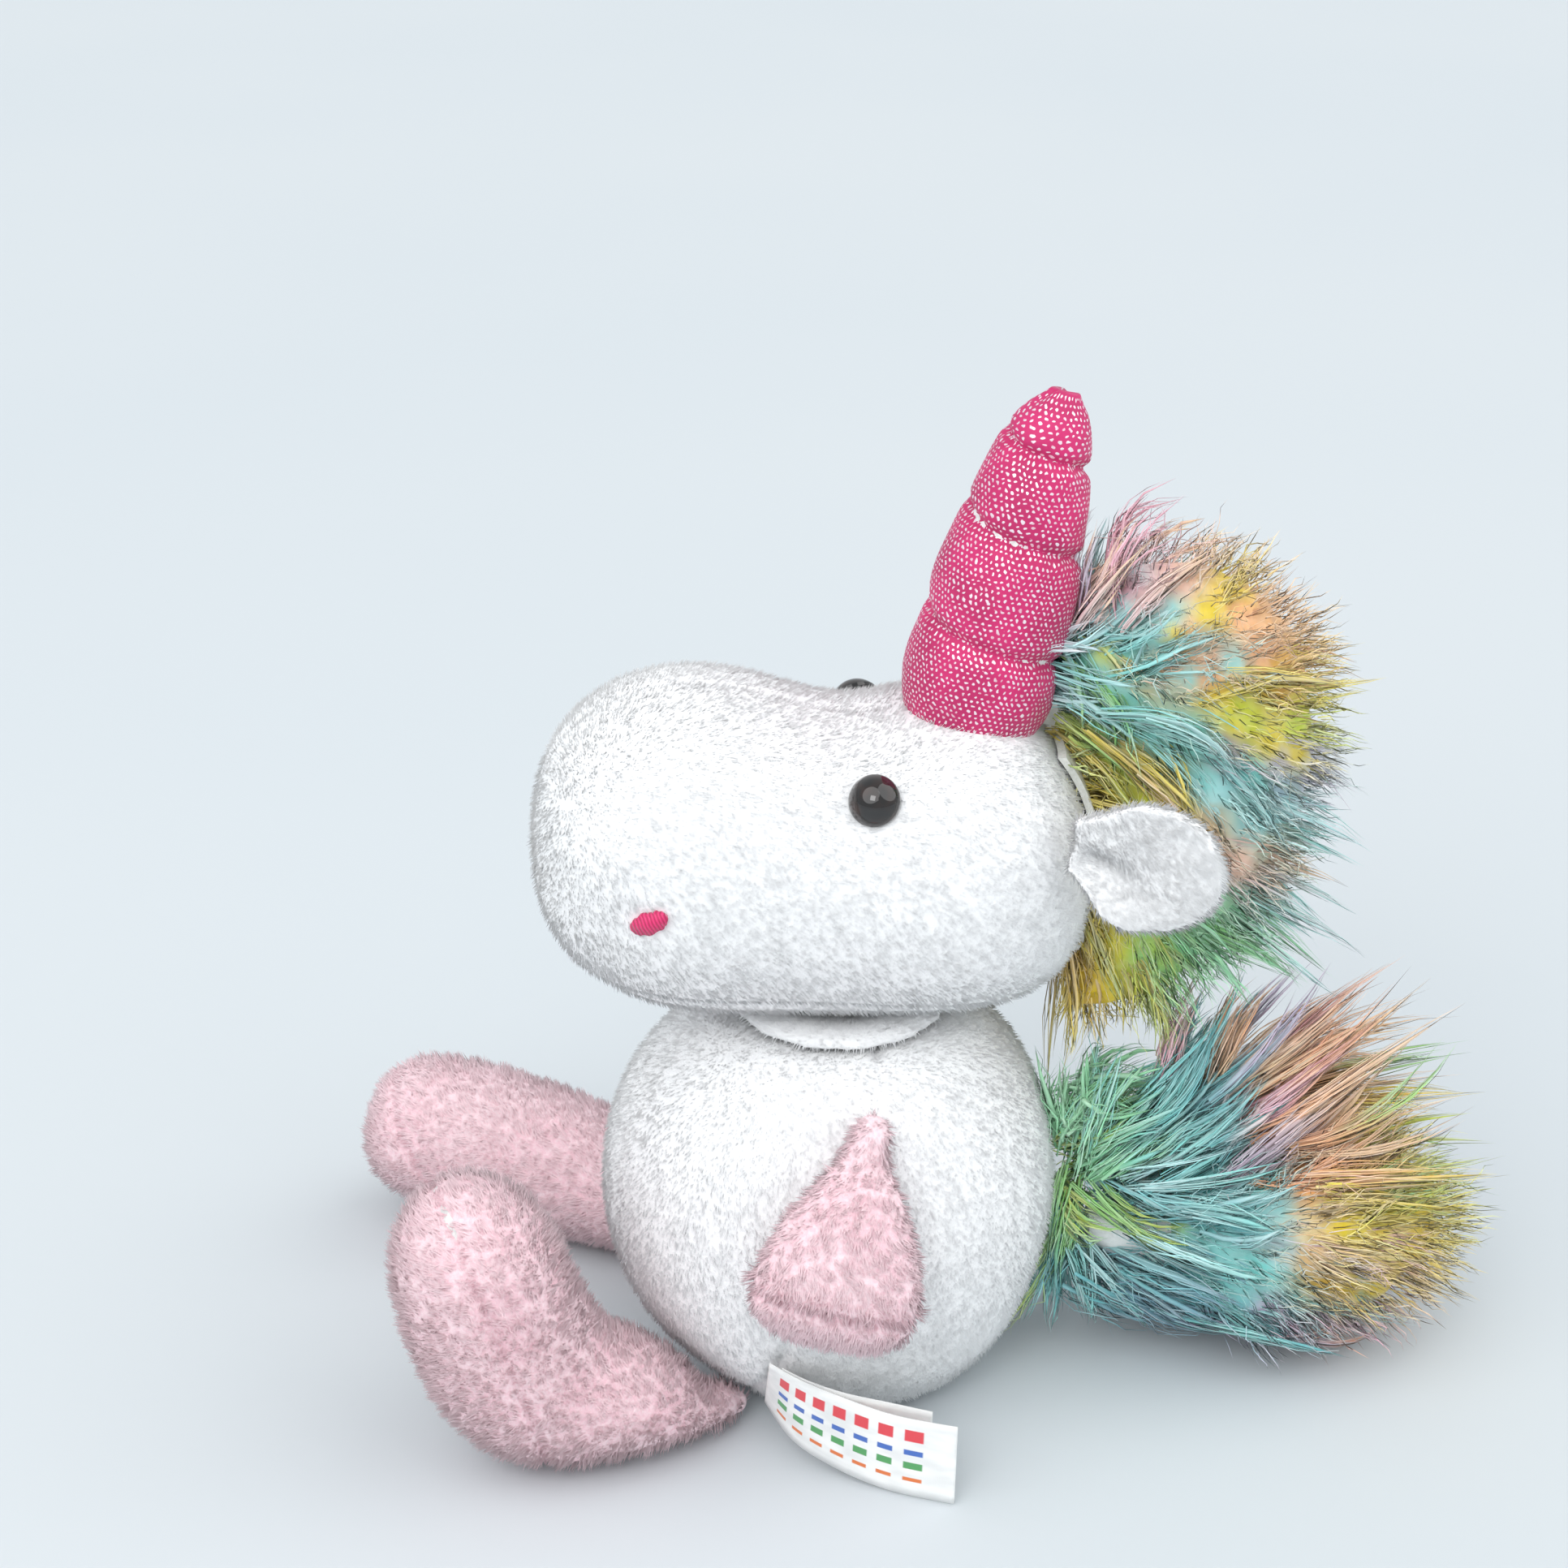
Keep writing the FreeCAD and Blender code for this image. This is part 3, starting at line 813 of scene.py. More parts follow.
@dataclass
class Skin:
    """A stuffed skin sewn from plush cloth, with the pile that grows on it."""

    name: str
    body: str
    shape: tuple[str, ...]
    replaced: tuple[str, ...]
    slot: str
    backing: KnitBacking
    pile: Pile
    seams: tuple[Seam, ...] = ()
    bald: tuple[Bald, ...] = ()
    fringe: Optional[Fringe] = None
    lumps: tuple[Bald, ...] = ()
    bend: Optional[Callable[[np.ndarray], np.ndarray]] = None
    voxel: float = 2.2
    swell: float = 0.9
    inset: float = 0.6
    smoothing: int = 3
    fill: float = 0.7
    layers: int = 1
    seed: int = 7
    piece: Optional[bpy.types.Object] = None

    def build(self, frame: dict) -> None:
        """Make the skin, its seams and its pile.

        Args:
            frame: The loaded frame.
        """
        form = gathered(frame["nodes"], self.shape)
        for lump in self.lumps:
            place = Matrix.Translation(Vector(lump.centre) * MM)
            bmesh.ops.create_icosphere(form, subdivisions=3, radius=lump.radius * MM, matrix=place)
        self.piece = piece_from(form, self.name)
        remeshed(self.piece, self.voxel * MM, self.smoothing)
        self.shrink()
        if self.bend is not None:
            move_points(self.piece, self.bend(points_of(self.piece)))
        self.inflate()
        self.divide()
        self.sew()
        dress(self.piece, self.backing.material())
        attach(self.piece, self.body)
        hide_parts(*self.replaced)
        LOG.info("%s: %d faces", self.name, len(self.piece.data.polygons))
        for layer in range(self.layers):
            self.grow(layer)

    def shrink(self) -> None:
        """Start slightly inside the final shape, because the stuffing swells it."""
        move_points(self.piece, points_of(self.piece) - normals_of(self.piece) * self.inset * MM)

    def seam_pull(self, points: np.ndarray) -> np.ndarray:
        """Strongest pull of any seam at each point."""
        pull = np.zeros(len(points))
        for seam in self.seams:
            pull = np.maximum(pull, seam.pull(points))
        return pull

    def inflate(self) -> None:
        """Press the stuffing outwards with a cloth simulation held at the seams."""
        start = points_of(self.piece)
        held = self.piece.vertex_groups.new(name="held")
        for index, pull in enumerate(self.seam_pull(start)):
            held.add([index], float(pull), "REPLACE")
        cloth = self.piece.modifiers.new("stuffing", "CLOTH")
        settings = cloth.settings
        settings.quality = 5
        settings.mass = 0.001
        settings.tension_stiffness = 6.0
        settings.compression_stiffness = 6.0
        settings.shear_stiffness = 2.0
        settings.bending_stiffness = 0.05
        settings.use_pressure = True
        settings.uniform_pressure_force = 4.0
        settings.effector_weights.gravity = 0.0
        settings.vertex_group_mass = "held"
        cloth.point_cache.frame_start = 1
        cloth.point_cache.frame_end = 20
        for step in range(1, 21):
            bpy.context.scene.frame_set(step)
        settle(self.piece)
        moved = points_of(self.piece) - start
        length = np.linalg.norm(moved, axis=1, keepdims=True)
        limit = (self.inset + self.swell) * MM
        move_points(self.piece, start + moved * np.minimum(1.0, limit / np.maximum(length, 1e-9)))
        self.piece.vertex_groups.clear()
        bpy.context.scene.frame_set(1)

    def divide(self) -> None:
        """Round the skin with one subdivision, kept in its mesh."""
        rounding = self.piece.modifiers.new("rounding", "SUBSURF")
        rounding.levels = 1
        rounding.render_levels = 1
        settle(self.piece)

    def sew(self) -> None:
        """Draw the cloth in along its seams."""
        points = points_of(self.piece)
        depth = np.zeros(len(points))
        for seam in self.seams:
            depth = np.maximum(depth, seam.pull(points) * seam.depth)
        move_points(self.piece, points - normals_of(self.piece) * depth[:, None] * MM)

    def roots(self, rng: np.random.Generator) -> tuple[np.ndarray, np.ndarray]:
        """Scatter the pile's roots evenly over the skin.

        Args:
            rng: The layer's own random source.

        Returns:
            The roots and the skin's normals there.
        """
        places, facing = scattered(self.piece, self.pile.count, rng)
        kept = np.ones(len(places), bool)
        for patch in self.bald:
            kept &= np.linalg.norm(places / MM - np.array(patch.centre), axis=1) > patch.radius
        return places[kept], facing[kept]

    def grow(self, layer: int) -> None:
        """Grow one layer of pile on the skin.

        Args:
            layer: Which layer, so that each falls differently.
        """
        rng = np.random.default_rng(self.seed * 31 + layer)
        pile = self.pile
        roots, facing = self.roots(rng)
        count = len(roots)
        swirl = np.sin(roots @ rng.normal(0, 130, (3, 3)) + rng.uniform(0, 6, 3)) * 0.3
        comb = np.array(pile.comb, float) + swirl
        along = unit(comb - (comb * facing).sum(1, keepdims=True) * facing)
        lean = np.full((count, 1), pile.lean)
        length = pile.length * MM * rng.uniform(0.7, 1.15, (count, 1))
        pull = self.seam_pull(roots)[:, None]
        length *= 1 - 0.45 * pull
        # Painted shade: fibres near a seam take the darker colour, as shade in its crease.
        seam_shade = pull * 0.75
        if self.fringe is not None:
            seam = self.fringe.seam
            away = (roots / MM - np.array(seam.through)) @ unit(np.array(seam.across))
            band = soft_step((away - self.fringe.start) / 1.2) * soft_step((self.fringe.end - away) / 1.2)
            length *= 1 + (self.fringe.longer - 1) * band[:, None]
            lean = lean * (1 - 0.75 * band[:, None])
            # Painted shade: the fringe band beside the hoof seam is darkened the same way.
            seam_shade = np.maximum(seam_shade, band[:, None] * 0.35)
        stray = rng.normal(0, pile.stray, (count, 3))
        heading = unit(facing * (1 - lean) + along * lean + stray)
        tips = roots + heading * length
        tips = self.clumped(roots, tips)
        tips[:, 2] = np.maximum(tips[:, 2], 0.12 * MM)
        level_of, across, faces = spike_pattern(3, 1)
        side = unit(np.cross(heading, facing + 0.01))
        other = np.cross(heading, side)
        base = roots - facing * 0.25 * MM
        centre = np.stack([base, tips], 1)[:, level_of]
        width = pile.thickness * MM * rng.uniform(0.75, 1.2, (count, 1, 1)) * (level_of == 0)[None, :, None]
        spread = side[:, None] * across[None, :, :1] + other[:, None] * across[None, :, 1:]
        points = centre + spread * width
        points[:, :, 2] = np.maximum(points[:, :, 2], 0.1 * MM)
        shading = facing[:, None] * 0.95 + spread * 0.08 * (level_of == 0)[None, :, None] + heading[:, None] * 0.15
        # Painted shade: each fibre runs from a darker root colour to a lighter tip colour, because the roots lie in
        # shade among the fibres.
        tone = rng.uniform(-0.035, 0.035, (count, 1))
        low = np.array(pile.root)[None] * (1 + tone)
        high = np.array(pile.tip)[None] * (1 + tone)
        # Painted shade: blend the crease shade into the root and tip colours.
        shadow_tone = np.array(pile.shadow_tone)[None]
        low = low * (1 - seam_shade) + shadow_tone * seam_shade
        high = high * (1 - 0.5 * seam_shade) + shadow_tone * 0.5 * seam_shade
        colours = np.clip(np.stack([low, high], 1)[:, level_of], 0, 1)
        colours[:, :, 3] = 1.0
        strands = copied_out(f"{self.name}_pile_{layer + 1}", points, faces, shading, colours)
        dress(strands, pile.finish.material())
        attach(strands, self.body)
        LOG.info("%s: %d fibres", strands.name, count)

    def clumped(self, roots: np.ndarray, tips: np.ndarray) -> np.ndarray:
        """Draw neighbouring tips together into tufts.

        Args:
            roots: The fibres' roots.
            tips: Their tips, before.

        Returns:
            The tips, after.
        """
        leaders = range(0, len(roots), self.pile.clump_size)
        tree = kdtree.KDTree(len(leaders))
        for leader in leaders:
            tree.insert(roots[leader], leader)
        tree.balance()
        nearest = np.array([tree.find(root)[1] for root in roots])
        return tips + (tips[nearest] - tips) * self.pile.clump

    def surface(self) -> BVHTree:
        """A search tree of the finished skin."""
        graph = bpy.context.evaluated_depsgraph_get()
        return BVHTree.FromObject(self.piece, graph)


# ---- horn --------------------------------------------------------------------------------------------------------


@dataclass
class Horn:
    """Stuffed horn of foil-dotted cloth, drawn into rolls by a thread wound round it; lengths in millimetres."""

    base: Point = (0.0, 25.4, 148.2)
    lean: float = 13.6
    rows: tuple[tuple[float, float], ...] = (
        (-8.5, 10.8), (-6.5, 12.6), (-3.5, 13.6), (0.0, 14.0), (6.0, 14.1), (14.0, 13.7), (22.0, 13.0), (28.0, 12.3),
        (34.0, 11.4), (40.0, 10.4), (45.0, 9.4), (49.0, 8.4), (53.0, 7.1), (56.5, 5.6), (59.0, 3.9), (60.3, 2.0),
    )
    top: float = 61.0
    creases: tuple[float, ...] = (-6.0, 14.8, 35.5, 51.0, 66.0)
    uneven: float = 0.23
    crease: float = 1.3
    crease_width: float = 1.3
    puff: float = 0.8
    steps: int = 96
    rings: int = 150

    def radius(self, height: np.ndarray) -> np.ndarray:
        """Radius of the horn before its rolls, smooth between the rows.

        Args:
            height: Heights above the base.

        Returns:
            The radii.
        """
        levels = np.array([row[0] for row in self.rows])
        radii = np.array([row[1] for row in self.rows])
        offsets = np.linspace(-2.0, 2.0, 5)
        return sum(np.interp(height + offset, levels, radii) for offset in offsets) / len(offsets)

    def build(self, head: Skin) -> None:
        """Make the horn and hand it to its body.

        Args:
            head: The skin that it stands on.
        """
        form = bmesh.new()
        heights = np.linspace(self.rows[0][0], self.rows[-1][0], self.rings)
        radii = self.radius(heights)
        profile = [form.verts.new((radius, 0.0, height)) for height, radius in zip(heights, radii)]
        edges = [form.edges.new(pair) for pair in zip(profile, profile[1:])]
        bmesh.ops.spin(
            form, geom=profile + edges, axis=(0, 0, 1), cent=(0, 0, 0), steps=self.steps,
            angle=2 * math.pi, use_merge=True, use_duplicate=False,
        )
        bmesh.ops.remove_doubles(form, verts=form.verts, dist=1e-5)
        rims = [edge for edge in form.edges if edge.is_boundary]
        bmesh.ops.holes_fill(form, edges=rims, sides=0)
        caps = [face for face in form.faces if len(face.verts) > 4]
        bmesh.ops.poke(form, faces=caps)
        bmesh.ops.recalc_face_normals(form, faces=form.faces)
        self.lay_strip(form)
        self.draw_in(form)
        lean = Matrix.Rotation(math.radians(-self.lean), 4, "X")
        place = Matrix.Translation(Vector(self.base) * MM) @ lean @ Matrix.Scale(MM, 4)
        bmesh.ops.transform(form, matrix=place, verts=form.verts)
        self.rest_on(form, head)
        piece = piece_from(form, "horn_cloth")
        dress(piece, FoilCloth().material())
        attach(piece, "horn")
        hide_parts("horn_cover")
        LOG.info("%s: %d faces", piece.name, len(piece.data.polygons))

    def around(self, angle: float) -> tuple[float, float]:
        """Turns round the horn from its front, plain and as the thread climbs.

        Args:
            angle: Heading about the axis.

        Returns:
            The plain share of a turn, and the share of a roll that the thread has sunk by.
        """
        share = ((angle + math.pi / 2) / (2 * math.pi)) % 1.0
        return share, share - self.uneven * math.sin(math.pi * share) ** 2

    def phase(self, height: float, angle: float) -> float:
        """How many rolls up the winding a place lies."""
        return float(np.interp(height, self.creases, range(len(self.creases)))) + self.around(angle)[1]

    def strip_lengths(self) -> tuple[np.ndarray, np.ndarray]:
        """Length of cloth along the winding.

        Returns:
            Turns, and the length of the strip at each.
        """
        turns = np.linspace(-6.0, 2.0, 801)
        lengths = [0.0]
        for turn in turns[1:]:
            roll = -math.floor(turn)
            sunk = self.around((turn + roll) * 2 * math.pi - math.pi / 2)[1]
            height = np.interp(roll + 0.5 - sunk, range(len(self.creases)), self.creases)
            lengths.append(lengths[-1] + float(self.radius(np.array([height]))[0]) * 2 * math.pi * 0.01)
        return turns, np.array(lengths)

    def lay_strip(self, form: bmesh.types.BMesh) -> None:
        """Give the cloth a UV map that follows the winding, 1 unit to 100 mm.

        Args:
            form: The round horn before its rolls, in millimetres.
        """
        layer = form.loops.layers.uv.new("strip")
        turns, lengths = self.strip_lengths()
        for face in form.faces:
            middle = face.calc_center_median()
            heading = math.atan2(middle.y, middle.x)
            share = self.around(heading)[0]
            roll = math.floor(self.phase(middle.z, heading))
            for loop in face.loops:
                spot = loop.vert.co
                angle = math.atan2(spot.y, spot.x) if spot.xy.length > 1e-4 else heading
                step = (angle - heading + math.pi) % (2 * math.pi) - math.pi
                run = float(np.interp(share + step / (2 * math.pi) - roll, turns, lengths))
                loop[layer].uv = (run / 100, (spot.z - roll * 17.0) / 100)

    def draw_in(self, form: bmesh.types.BMesh) -> None:
        """Puff the rolls, draw in the creases between them and fold the tip over.

        Args:
            form: The round horn, in millimetres.
        """
        for vertex in form.verts:
            spot = vertex.co
            if spot.xy.length < 1e-4:
                continue
            angle = math.atan2(spot.y, spot.x)
            share = self.phase(spot.z, angle) % 1.0
            apart = min(share, 1 - share) * 18.0
            ease = min(1.0, max(0.0, (self.top - spot.z) / 9.0)) * min(1.0, max(0.0, (spot.z + 5.0) / 6.0))
            pucker = 0.16 * math.sin(angle * 23 + 2 * math.sin(angle * 5)) * math.exp(-((apart / 3.0) ** 2))
            groove = self.crease * math.exp(-((apart / self.crease_width) ** 2))
            change = self.puff * math.sin(math.pi * share) ** 0.7 - groove + pucker
            wander = 0.18 * math.sin(angle * 2 + spot.z * 0.2) + 0.12 * math.sin(angle * 5 - spot.z * 0.4)
            radius = spot.xy.length + (change * ease) + wander * ease
            spot.xy = Vector((math.cos(angle), math.sin(angle))) * max(radius, 0.3)
            if spot.z > 52.0:
                over = (spot.z - 52.0) / 9.0
                notch = math.exp(-(((angle - 2.6) / 0.35) ** 2)) + math.exp(-(((angle + 1.3) / 0.3) ** 2))
                spot.z -= 1.1 * over * notch
                spot.y += 0.9 * over
                spot.x *= 1 - 0.22 * over * over

    def rest_on(self, form: bmesh.types.BMesh, head: Skin) -> None:
        """Let the horn's foot lie on the head instead of in it.

        Args:
            form: The horn in place, in metres.
            head: The skin that it stands on.
        """
        surface = head.surface()
        for vertex in form.verts:
            near, normal, _, _ = surface.find_nearest(vertex.co)
            if near is not None and (vertex.co - near).dot(normal) < -0.5 * MM:
                vertex.co = near - normal * 0.5 * MM


# ---- eyes and nostrils -------------------------------------------------------------------------------------------


@dataclass
class Nostril:
    """A slanted oval of satin stitches; lengths in millimetres."""

    side: float
    centre: Point = (30.5, -37.3, 115.6)
    inner: Point = (12.0, -20.0, 121.0)
    half_long: float = 4.3
    half_short: float = 2.1
    turn: float = 32.0
    rise: float = 0.55

    def build(self, head: Skin, material: bpy.types.Material) -> None:
        """Embroider the oval on the head.

        Args:
            head: The skin under it.
            material: The thread.
        """
        name = "nostril_left_stitches" if self.side > 0 else "nostril_right_stitches"
        form = bmesh.new()
        bmesh.ops.create_circle(form, cap_ends=True, segments=40, radius=1.0)
        for _ in range(3):
            bmesh.ops.inset_region(form, faces=self.middle_face(form), thickness=0.26, use_even_offset=False)
        bmesh.ops.poke(form, faces=self.middle_face(form))
        layer = form.loops.layers.uv.new("stitch")
        for face in form.faces:
            for loop in face.loops:
                loop[layer].uv = ((loop.vert.co.x + 1) / 2, (loop.vert.co.y + 1) / 2)
        centre = Vector((self.side * self.centre[0], self.centre[1], self.centre[2]))
        facing = (centre - Vector((self.side * self.inner[0], self.inner[1], self.inner[2]))).normalized()
        back = Vector((0, 1, 0))
        flat = (back - facing * back.dot(facing)).normalized()
        up = facing.cross(flat) * self.side
        turned = math.radians(self.turn)
        long = flat * math.cos(turned) + up * math.sin(turned)
        short = up * math.cos(turned) - flat * math.sin(turned)
        surface = head.surface()
        for vertex in form.verts:
            out = min(1.0, vertex.co.xy.length)
            ripple = 0.10 * math.sin(vertex.co.x * 34)
            spot = centre + long * vertex.co.x * self.half_long + short * vertex.co.y * self.half_short * (1 + ripple)
            near, normal, _, _ = surface.find_nearest(spot * MM)
            lift = self.rise * math.sqrt(max(0.0, 1 - out * out)) + 1.0
            vertex.co = near + normal * lift * MM
        rim = bmesh.ops.extrude_edge_only(form, edges=[edge for edge in form.edges if edge.is_boundary])
        lowered = [item for item in rim["geom"] if isinstance(item, bmesh.types.BMVert)]
        for vertex in lowered:
            near, normal, _, _ = surface.find_nearest(vertex.co)
            vertex.co = near - normal * 0.3 * MM
        bmesh.ops.holes_fill(form, edges=[edge for edge in form.edges if edge.is_boundary], sides=0)
        bmesh.ops.recalc_face_normals(form, faces=form.faces)
        piece = piece_from(form, name)
        dress(piece, material)
        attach(piece, "head")
        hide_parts("nostril_left" if self.side > 0 else "nostril_right")
        LOG.info("%s: %d faces", name, len(piece.data.polygons))

    def middle_face(self, form: bmesh.types.BMesh) -> list[bmesh.types.BMFace]:
        """The oval's innermost face."""
        form.faces.ensure_lookup_table()
        return [max(form.faces, key=lambda face: len(face.verts))]


# ---- mane and tail -----------------------------------------------------------------------------------------------


@dataclass(frozen=True)
class Lock:
    """A lock of long pile seen from the side: Y and Z of root and tip, its girth and dyes, in millimetres."""

    root: tuple[float, float]
    tip: tuple[float, float]
    girth: float
    first: Dye
    last: Dye
    bend: float = 0.0
    curl: float = 0.5


@dataclass
class Guides:
    """Locks placed in space, one row each."""

    roots: np.ndarray
    tips: np.ndarray
    bends: np.ndarray
    girths: np.ndarray
    firsts: np.ndarray
    lasts: np.ndarray
    curls: np.ndarray

    def at(self, which: np.ndarray, share: np.ndarray) -> np.ndarray:
        """Points along locks.

        Args:
            which: The lock of each row.
            share: How far along, 0 to 1, by row and step.

        Returns:
            Rows by steps by three.
        """
        start, end, bend = self.roots[which], self.tips[which], self.bends[which]
        far = share[:, :, None]
        return start[:, None] * (1 - far) + end[:, None] * far + bend[:, None] * 4 * far * (1 - far)


def swell_of(share: np.ndarray) -> np.ndarray:
    """How wide a lock is along its length, as a share of its girth."""
    held = np.clip(share, 0, 1)
    return (0.42 + 1.25 * held) * (1 - held) ** 0.75


@dataclass
class Mop:
    """Long rainbow pile: listed locks, their mirror, and seeded locks between them; in millimetres."""

    name: str
    body: str
    slot: str
    replaced: str
    base: str
    locks: tuple[Lock, ...]
    rows: tuple[tuple[float, float, float, float], ...]
    along_y: bool
    fibres: int
    seed: int
    inner: float = 5.0
    forward: float = 0.0
    thin: float = 0.125
    levels: int = 4
    base_tufts: int = 260
    coat_fibres: int = 4600
    coat_tufts: int = 1800
    coat_reach: tuple[float, float] = (7.0, 15.0)
    fill_between: int = 26
    tuftlets: int = 4

    def half_width(self, y: float, z: float) -> float:
        """Half the width of the whole mass at a place in its side view.

        Args:
            y: Distance back.
            z: Height.

        Returns:
            Half the width in millimetres, at least 3.
        """
        key, other = (y, z) if self.along_y else (z, y)
        table = np.array(sorted(self.rows))
        low = np.interp(key, table[:, 0], table[:, 1])
        high = np.interp(key, table[:, 0], table[:, 2])
        wide = np.interp(key, table[:, 0], table[:, 3])
        across = (other - (low + high) / 2) / max((high - low) / 2, 1.0)
        return max(3.0, wide * math.sqrt(max(0.0, 1 - across * across)))

    def guides(self, side: float) -> Guides:
        """Place the locks of one side.

        Args:
            side: 1 for the left side, -1 for the right.

        Returns:
            The placed locks.
        """
        rng = np.random.default_rng(self.seed + (0 if side > 0 else 500))
        picked = list(self.locks)
        drift = 0.0 if side > 0 else 3.0
        spots = [(lock, 0.45, 0.88, drift) for lock in picked]
        for _ in range(self.fill_between):
            spots.append((picked[rng.integers(len(picked))], rng.uniform(0.0, 0.35), rng.uniform(0.0, 0.6), 4.0))
        roots, tips, bends, girths, firsts, lasts, curls = [], [], [], [], [], [], []
        for lock, near_root, near_tip, shift in spots:
            stray = rng.normal(0, shift, 4) * 0.7
            ry, rz = lock.root[0] + stray[0] * 0.4, lock.root[1] + stray[1] * 0.4
            ty, tz = lock.tip[0] + stray[2], lock.tip[1] + stray[3]
            root_x = side * near_root * self.half_width(ry, rz)
            tip_x = side * near_tip * self.half_width(ty, tz) * rng.uniform(0.85, 1.1)
            root = np.array((root_x, ry, rz))
            tip = np.array((tip_x, ty, max(tz, 1.5)))
            run = tip - root
            upward = np.array((0.0, -run[2], run[1]))
            outward = np.array((side * 0.10 * np.linalg.norm(run), 0.0, 0.0))
            roots.append(root * MM)
            tips.append(tip * MM)
            bends.append((upward * lock.bend + outward) * MM)
            girths.append(lock.girth * MM)
            firsts.append(lock.first.value)
            lasts.append(lock.last.value)
            curls.append(lock.curl)
        placed = Guides(*(np.array(column) for column in (roots, tips, bends, girths, firsts, lasts, curls)))
        return self.split(placed, rng)

    def split(self, whole: Guides, rng: np.random.Generator) -> Guides:
        """Part every lock into tuftlets that lie together at the root and fan out at the tip.

        Args:
            whole: The placed locks.
            rng: The side's random source.

        Returns:
            The tuftlets.
        """
        which = np.repeat(np.arange(len(whole.roots)), self.tuftlets)
        count = len(which)
        girth = whole.girths[which][:, None]
        run = whole.tips[which] - whole.roots[which]
        shorter = rng.uniform(0.62, 1.06, (count, 1))
        roots = whole.roots[which] + rng.normal(0, 0.42, (count, 3)) * girth
        tips = whole.roots[which] + run * shorter + rng.normal(0, 0.62, (count, 3)) * girth
        tips[:, 2] = np.maximum(tips[:, 2], 1.2 * MM)
        bends = whole.bends[which] + rng.normal(0, 0.22, (count, 3)) * girth
        tone = 1 + rng.normal(0, 0.06, (count, 1))
        girths = whole.girths[which] * rng.uniform(0.42, 0.72, count)
        return Guides(
            roots, tips, bends, girths, whole.firsts[which] * tone, whole.lasts[which] * tone, whole.curls[which]
        )

    def build(self, frame: dict, material: bpy.types.Material) -> None:
        """Make both sides of the mass and its dense middle.

        Args:
            frame: The loaded frame.
            material: The fibres' material.
        """
        self.coat(frame, self.middle(frame, material), material)
        for side, label in ((1.0, "left"), (-1.0, "right")):
            guides = self.guides(side)
            self.hearts(guides, f"{self.name}_hearts_{label}", material)
            self.strands(guides, f"{self.name}_fibres_{label}", material, side, self.fibres)

    def middle(self, frame: dict, material: bpy.types.Material) -> bpy.types.Object:
        """Fill the mass behind its locks with matted pile.

        Args:
            frame: The loaded frame.
            material: The fibres' material.

        Returns:
            The matted piece.
        """
        piece = piece_from(gathered(frame["nodes"], (self.replaced,)), f"{self.name}_matted_core")
        remeshed(piece, 2.4 * MM, 4)
        rng = np.random.default_rng(self.seed + 9)
        points, normals = points_of(piece), normals_of(piece)
        waves = np.sin(points @ rng.normal(0, 420, (3, 5)) + rng.uniform(0, 6, 5)).sum(1) / 5
        points = points + normals * ((waves * 1.6 - self.inner) * MM)[:, None]
        front = soft_step((66.0 - points[:, 1] / MM) / 14.0)
        points[:, 1] -= front * self.forward * MM
        move_points(piece, points)
        # Painted shade: the matted middle is coloured a little darker than the locks, because it lies in their shade.
        painted(piece.data, self.colour_near(points, rng, 0.92))
        dress(piece, material)
        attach(piece, self.body)
        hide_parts(self.replaced)
        LOG.info("%s: %d faces", piece.name, len(piece.data.polygons))
        return piece

    def coat(self, frame: dict, core: bpy.types.Object, material: bpy.types.Material) -> None:
        """Grow short tufts all over the matted middle and its base, so that none of them shows bare.

        Args:
            frame: The loaded frame.
            core: The matted piece.
            material: The fibres' material.
        """
        rng = np.random.default_rng(self.seed + 77)
        sewn_on = piece_from(gathered(frame["nodes"], (self.base,)), f"{self.name}_base")
        parts = [scattered(core, self.coat_tufts, rng), scattered(sewn_on, self.base_tufts, rng)]
        bpy.data.objects.remove(sewn_on)
        roots, facing = (np.concatenate(both) for both in zip(*parts))
        kept = facing[:, 1] > -0.92
        roots, facing = roots[kept], facing[kept]
        count = len(roots)
        share = self.nearness(roots)
        ways = np.array([[0.0, lock.tip[0] - lock.root[0], lock.tip[1] - lock.root[1]] for lock in self.locks])
        flow = unit(share @ np.repeat(unit(ways), 3, axis=0))
        heading = unit(flow * 0.95 + facing * 0.55 + rng.normal(0, 0.28, (count, 3)))
        ahead = soft_step((-facing[:, 1:2] - 0.3) / 0.5)
        tips = roots + heading * rng.uniform(*self.coat_reach, (count, 1)) * (1 - 0.45 * ahead) * MM
        tips[:, 2] = np.maximum(tips[:, 2], 1.2 * MM)
        # Painted shade and light: the tufts are coloured darker at their roots and lighter at their tips than the
        # locks.
        guides = Guides(
            roots - facing * MM, tips, facing * rng.uniform(0.2, 1.4, (count, 1)) * MM,
            rng.uniform(1.1, 2.3, count) * MM, self.colour_near(roots, rng, 0.98), self.colour_near(tips, rng, 1.08),
            rng.uniform(0.5, 1.7, count),
        )
        self.strands(guides, f"{self.name}_coat", material, 0.0, self.coat_fibres)

    def nearness(self, points: np.ndarray) -> np.ndarray:
        """How much each part of each lock counts at each point, adding up to one.

        Args:
            points: Points in metres.

        Returns:
            A row per point, three columns per lock.
        """
        spots = [
            [lock.root[axis] * (1 - share) + lock.tip[axis] * share for axis in (0, 1)]
            for lock in self.locks for share in (0.2, 0.5, 0.8)
        ]
        gaps = points[:, None, 1:] / MM - np.array(spots)[None]
        weights = 1 / (2.0 + (gaps ** 2).sum(2)) ** 2
        return weights / weights.sum(1, keepdims=True)

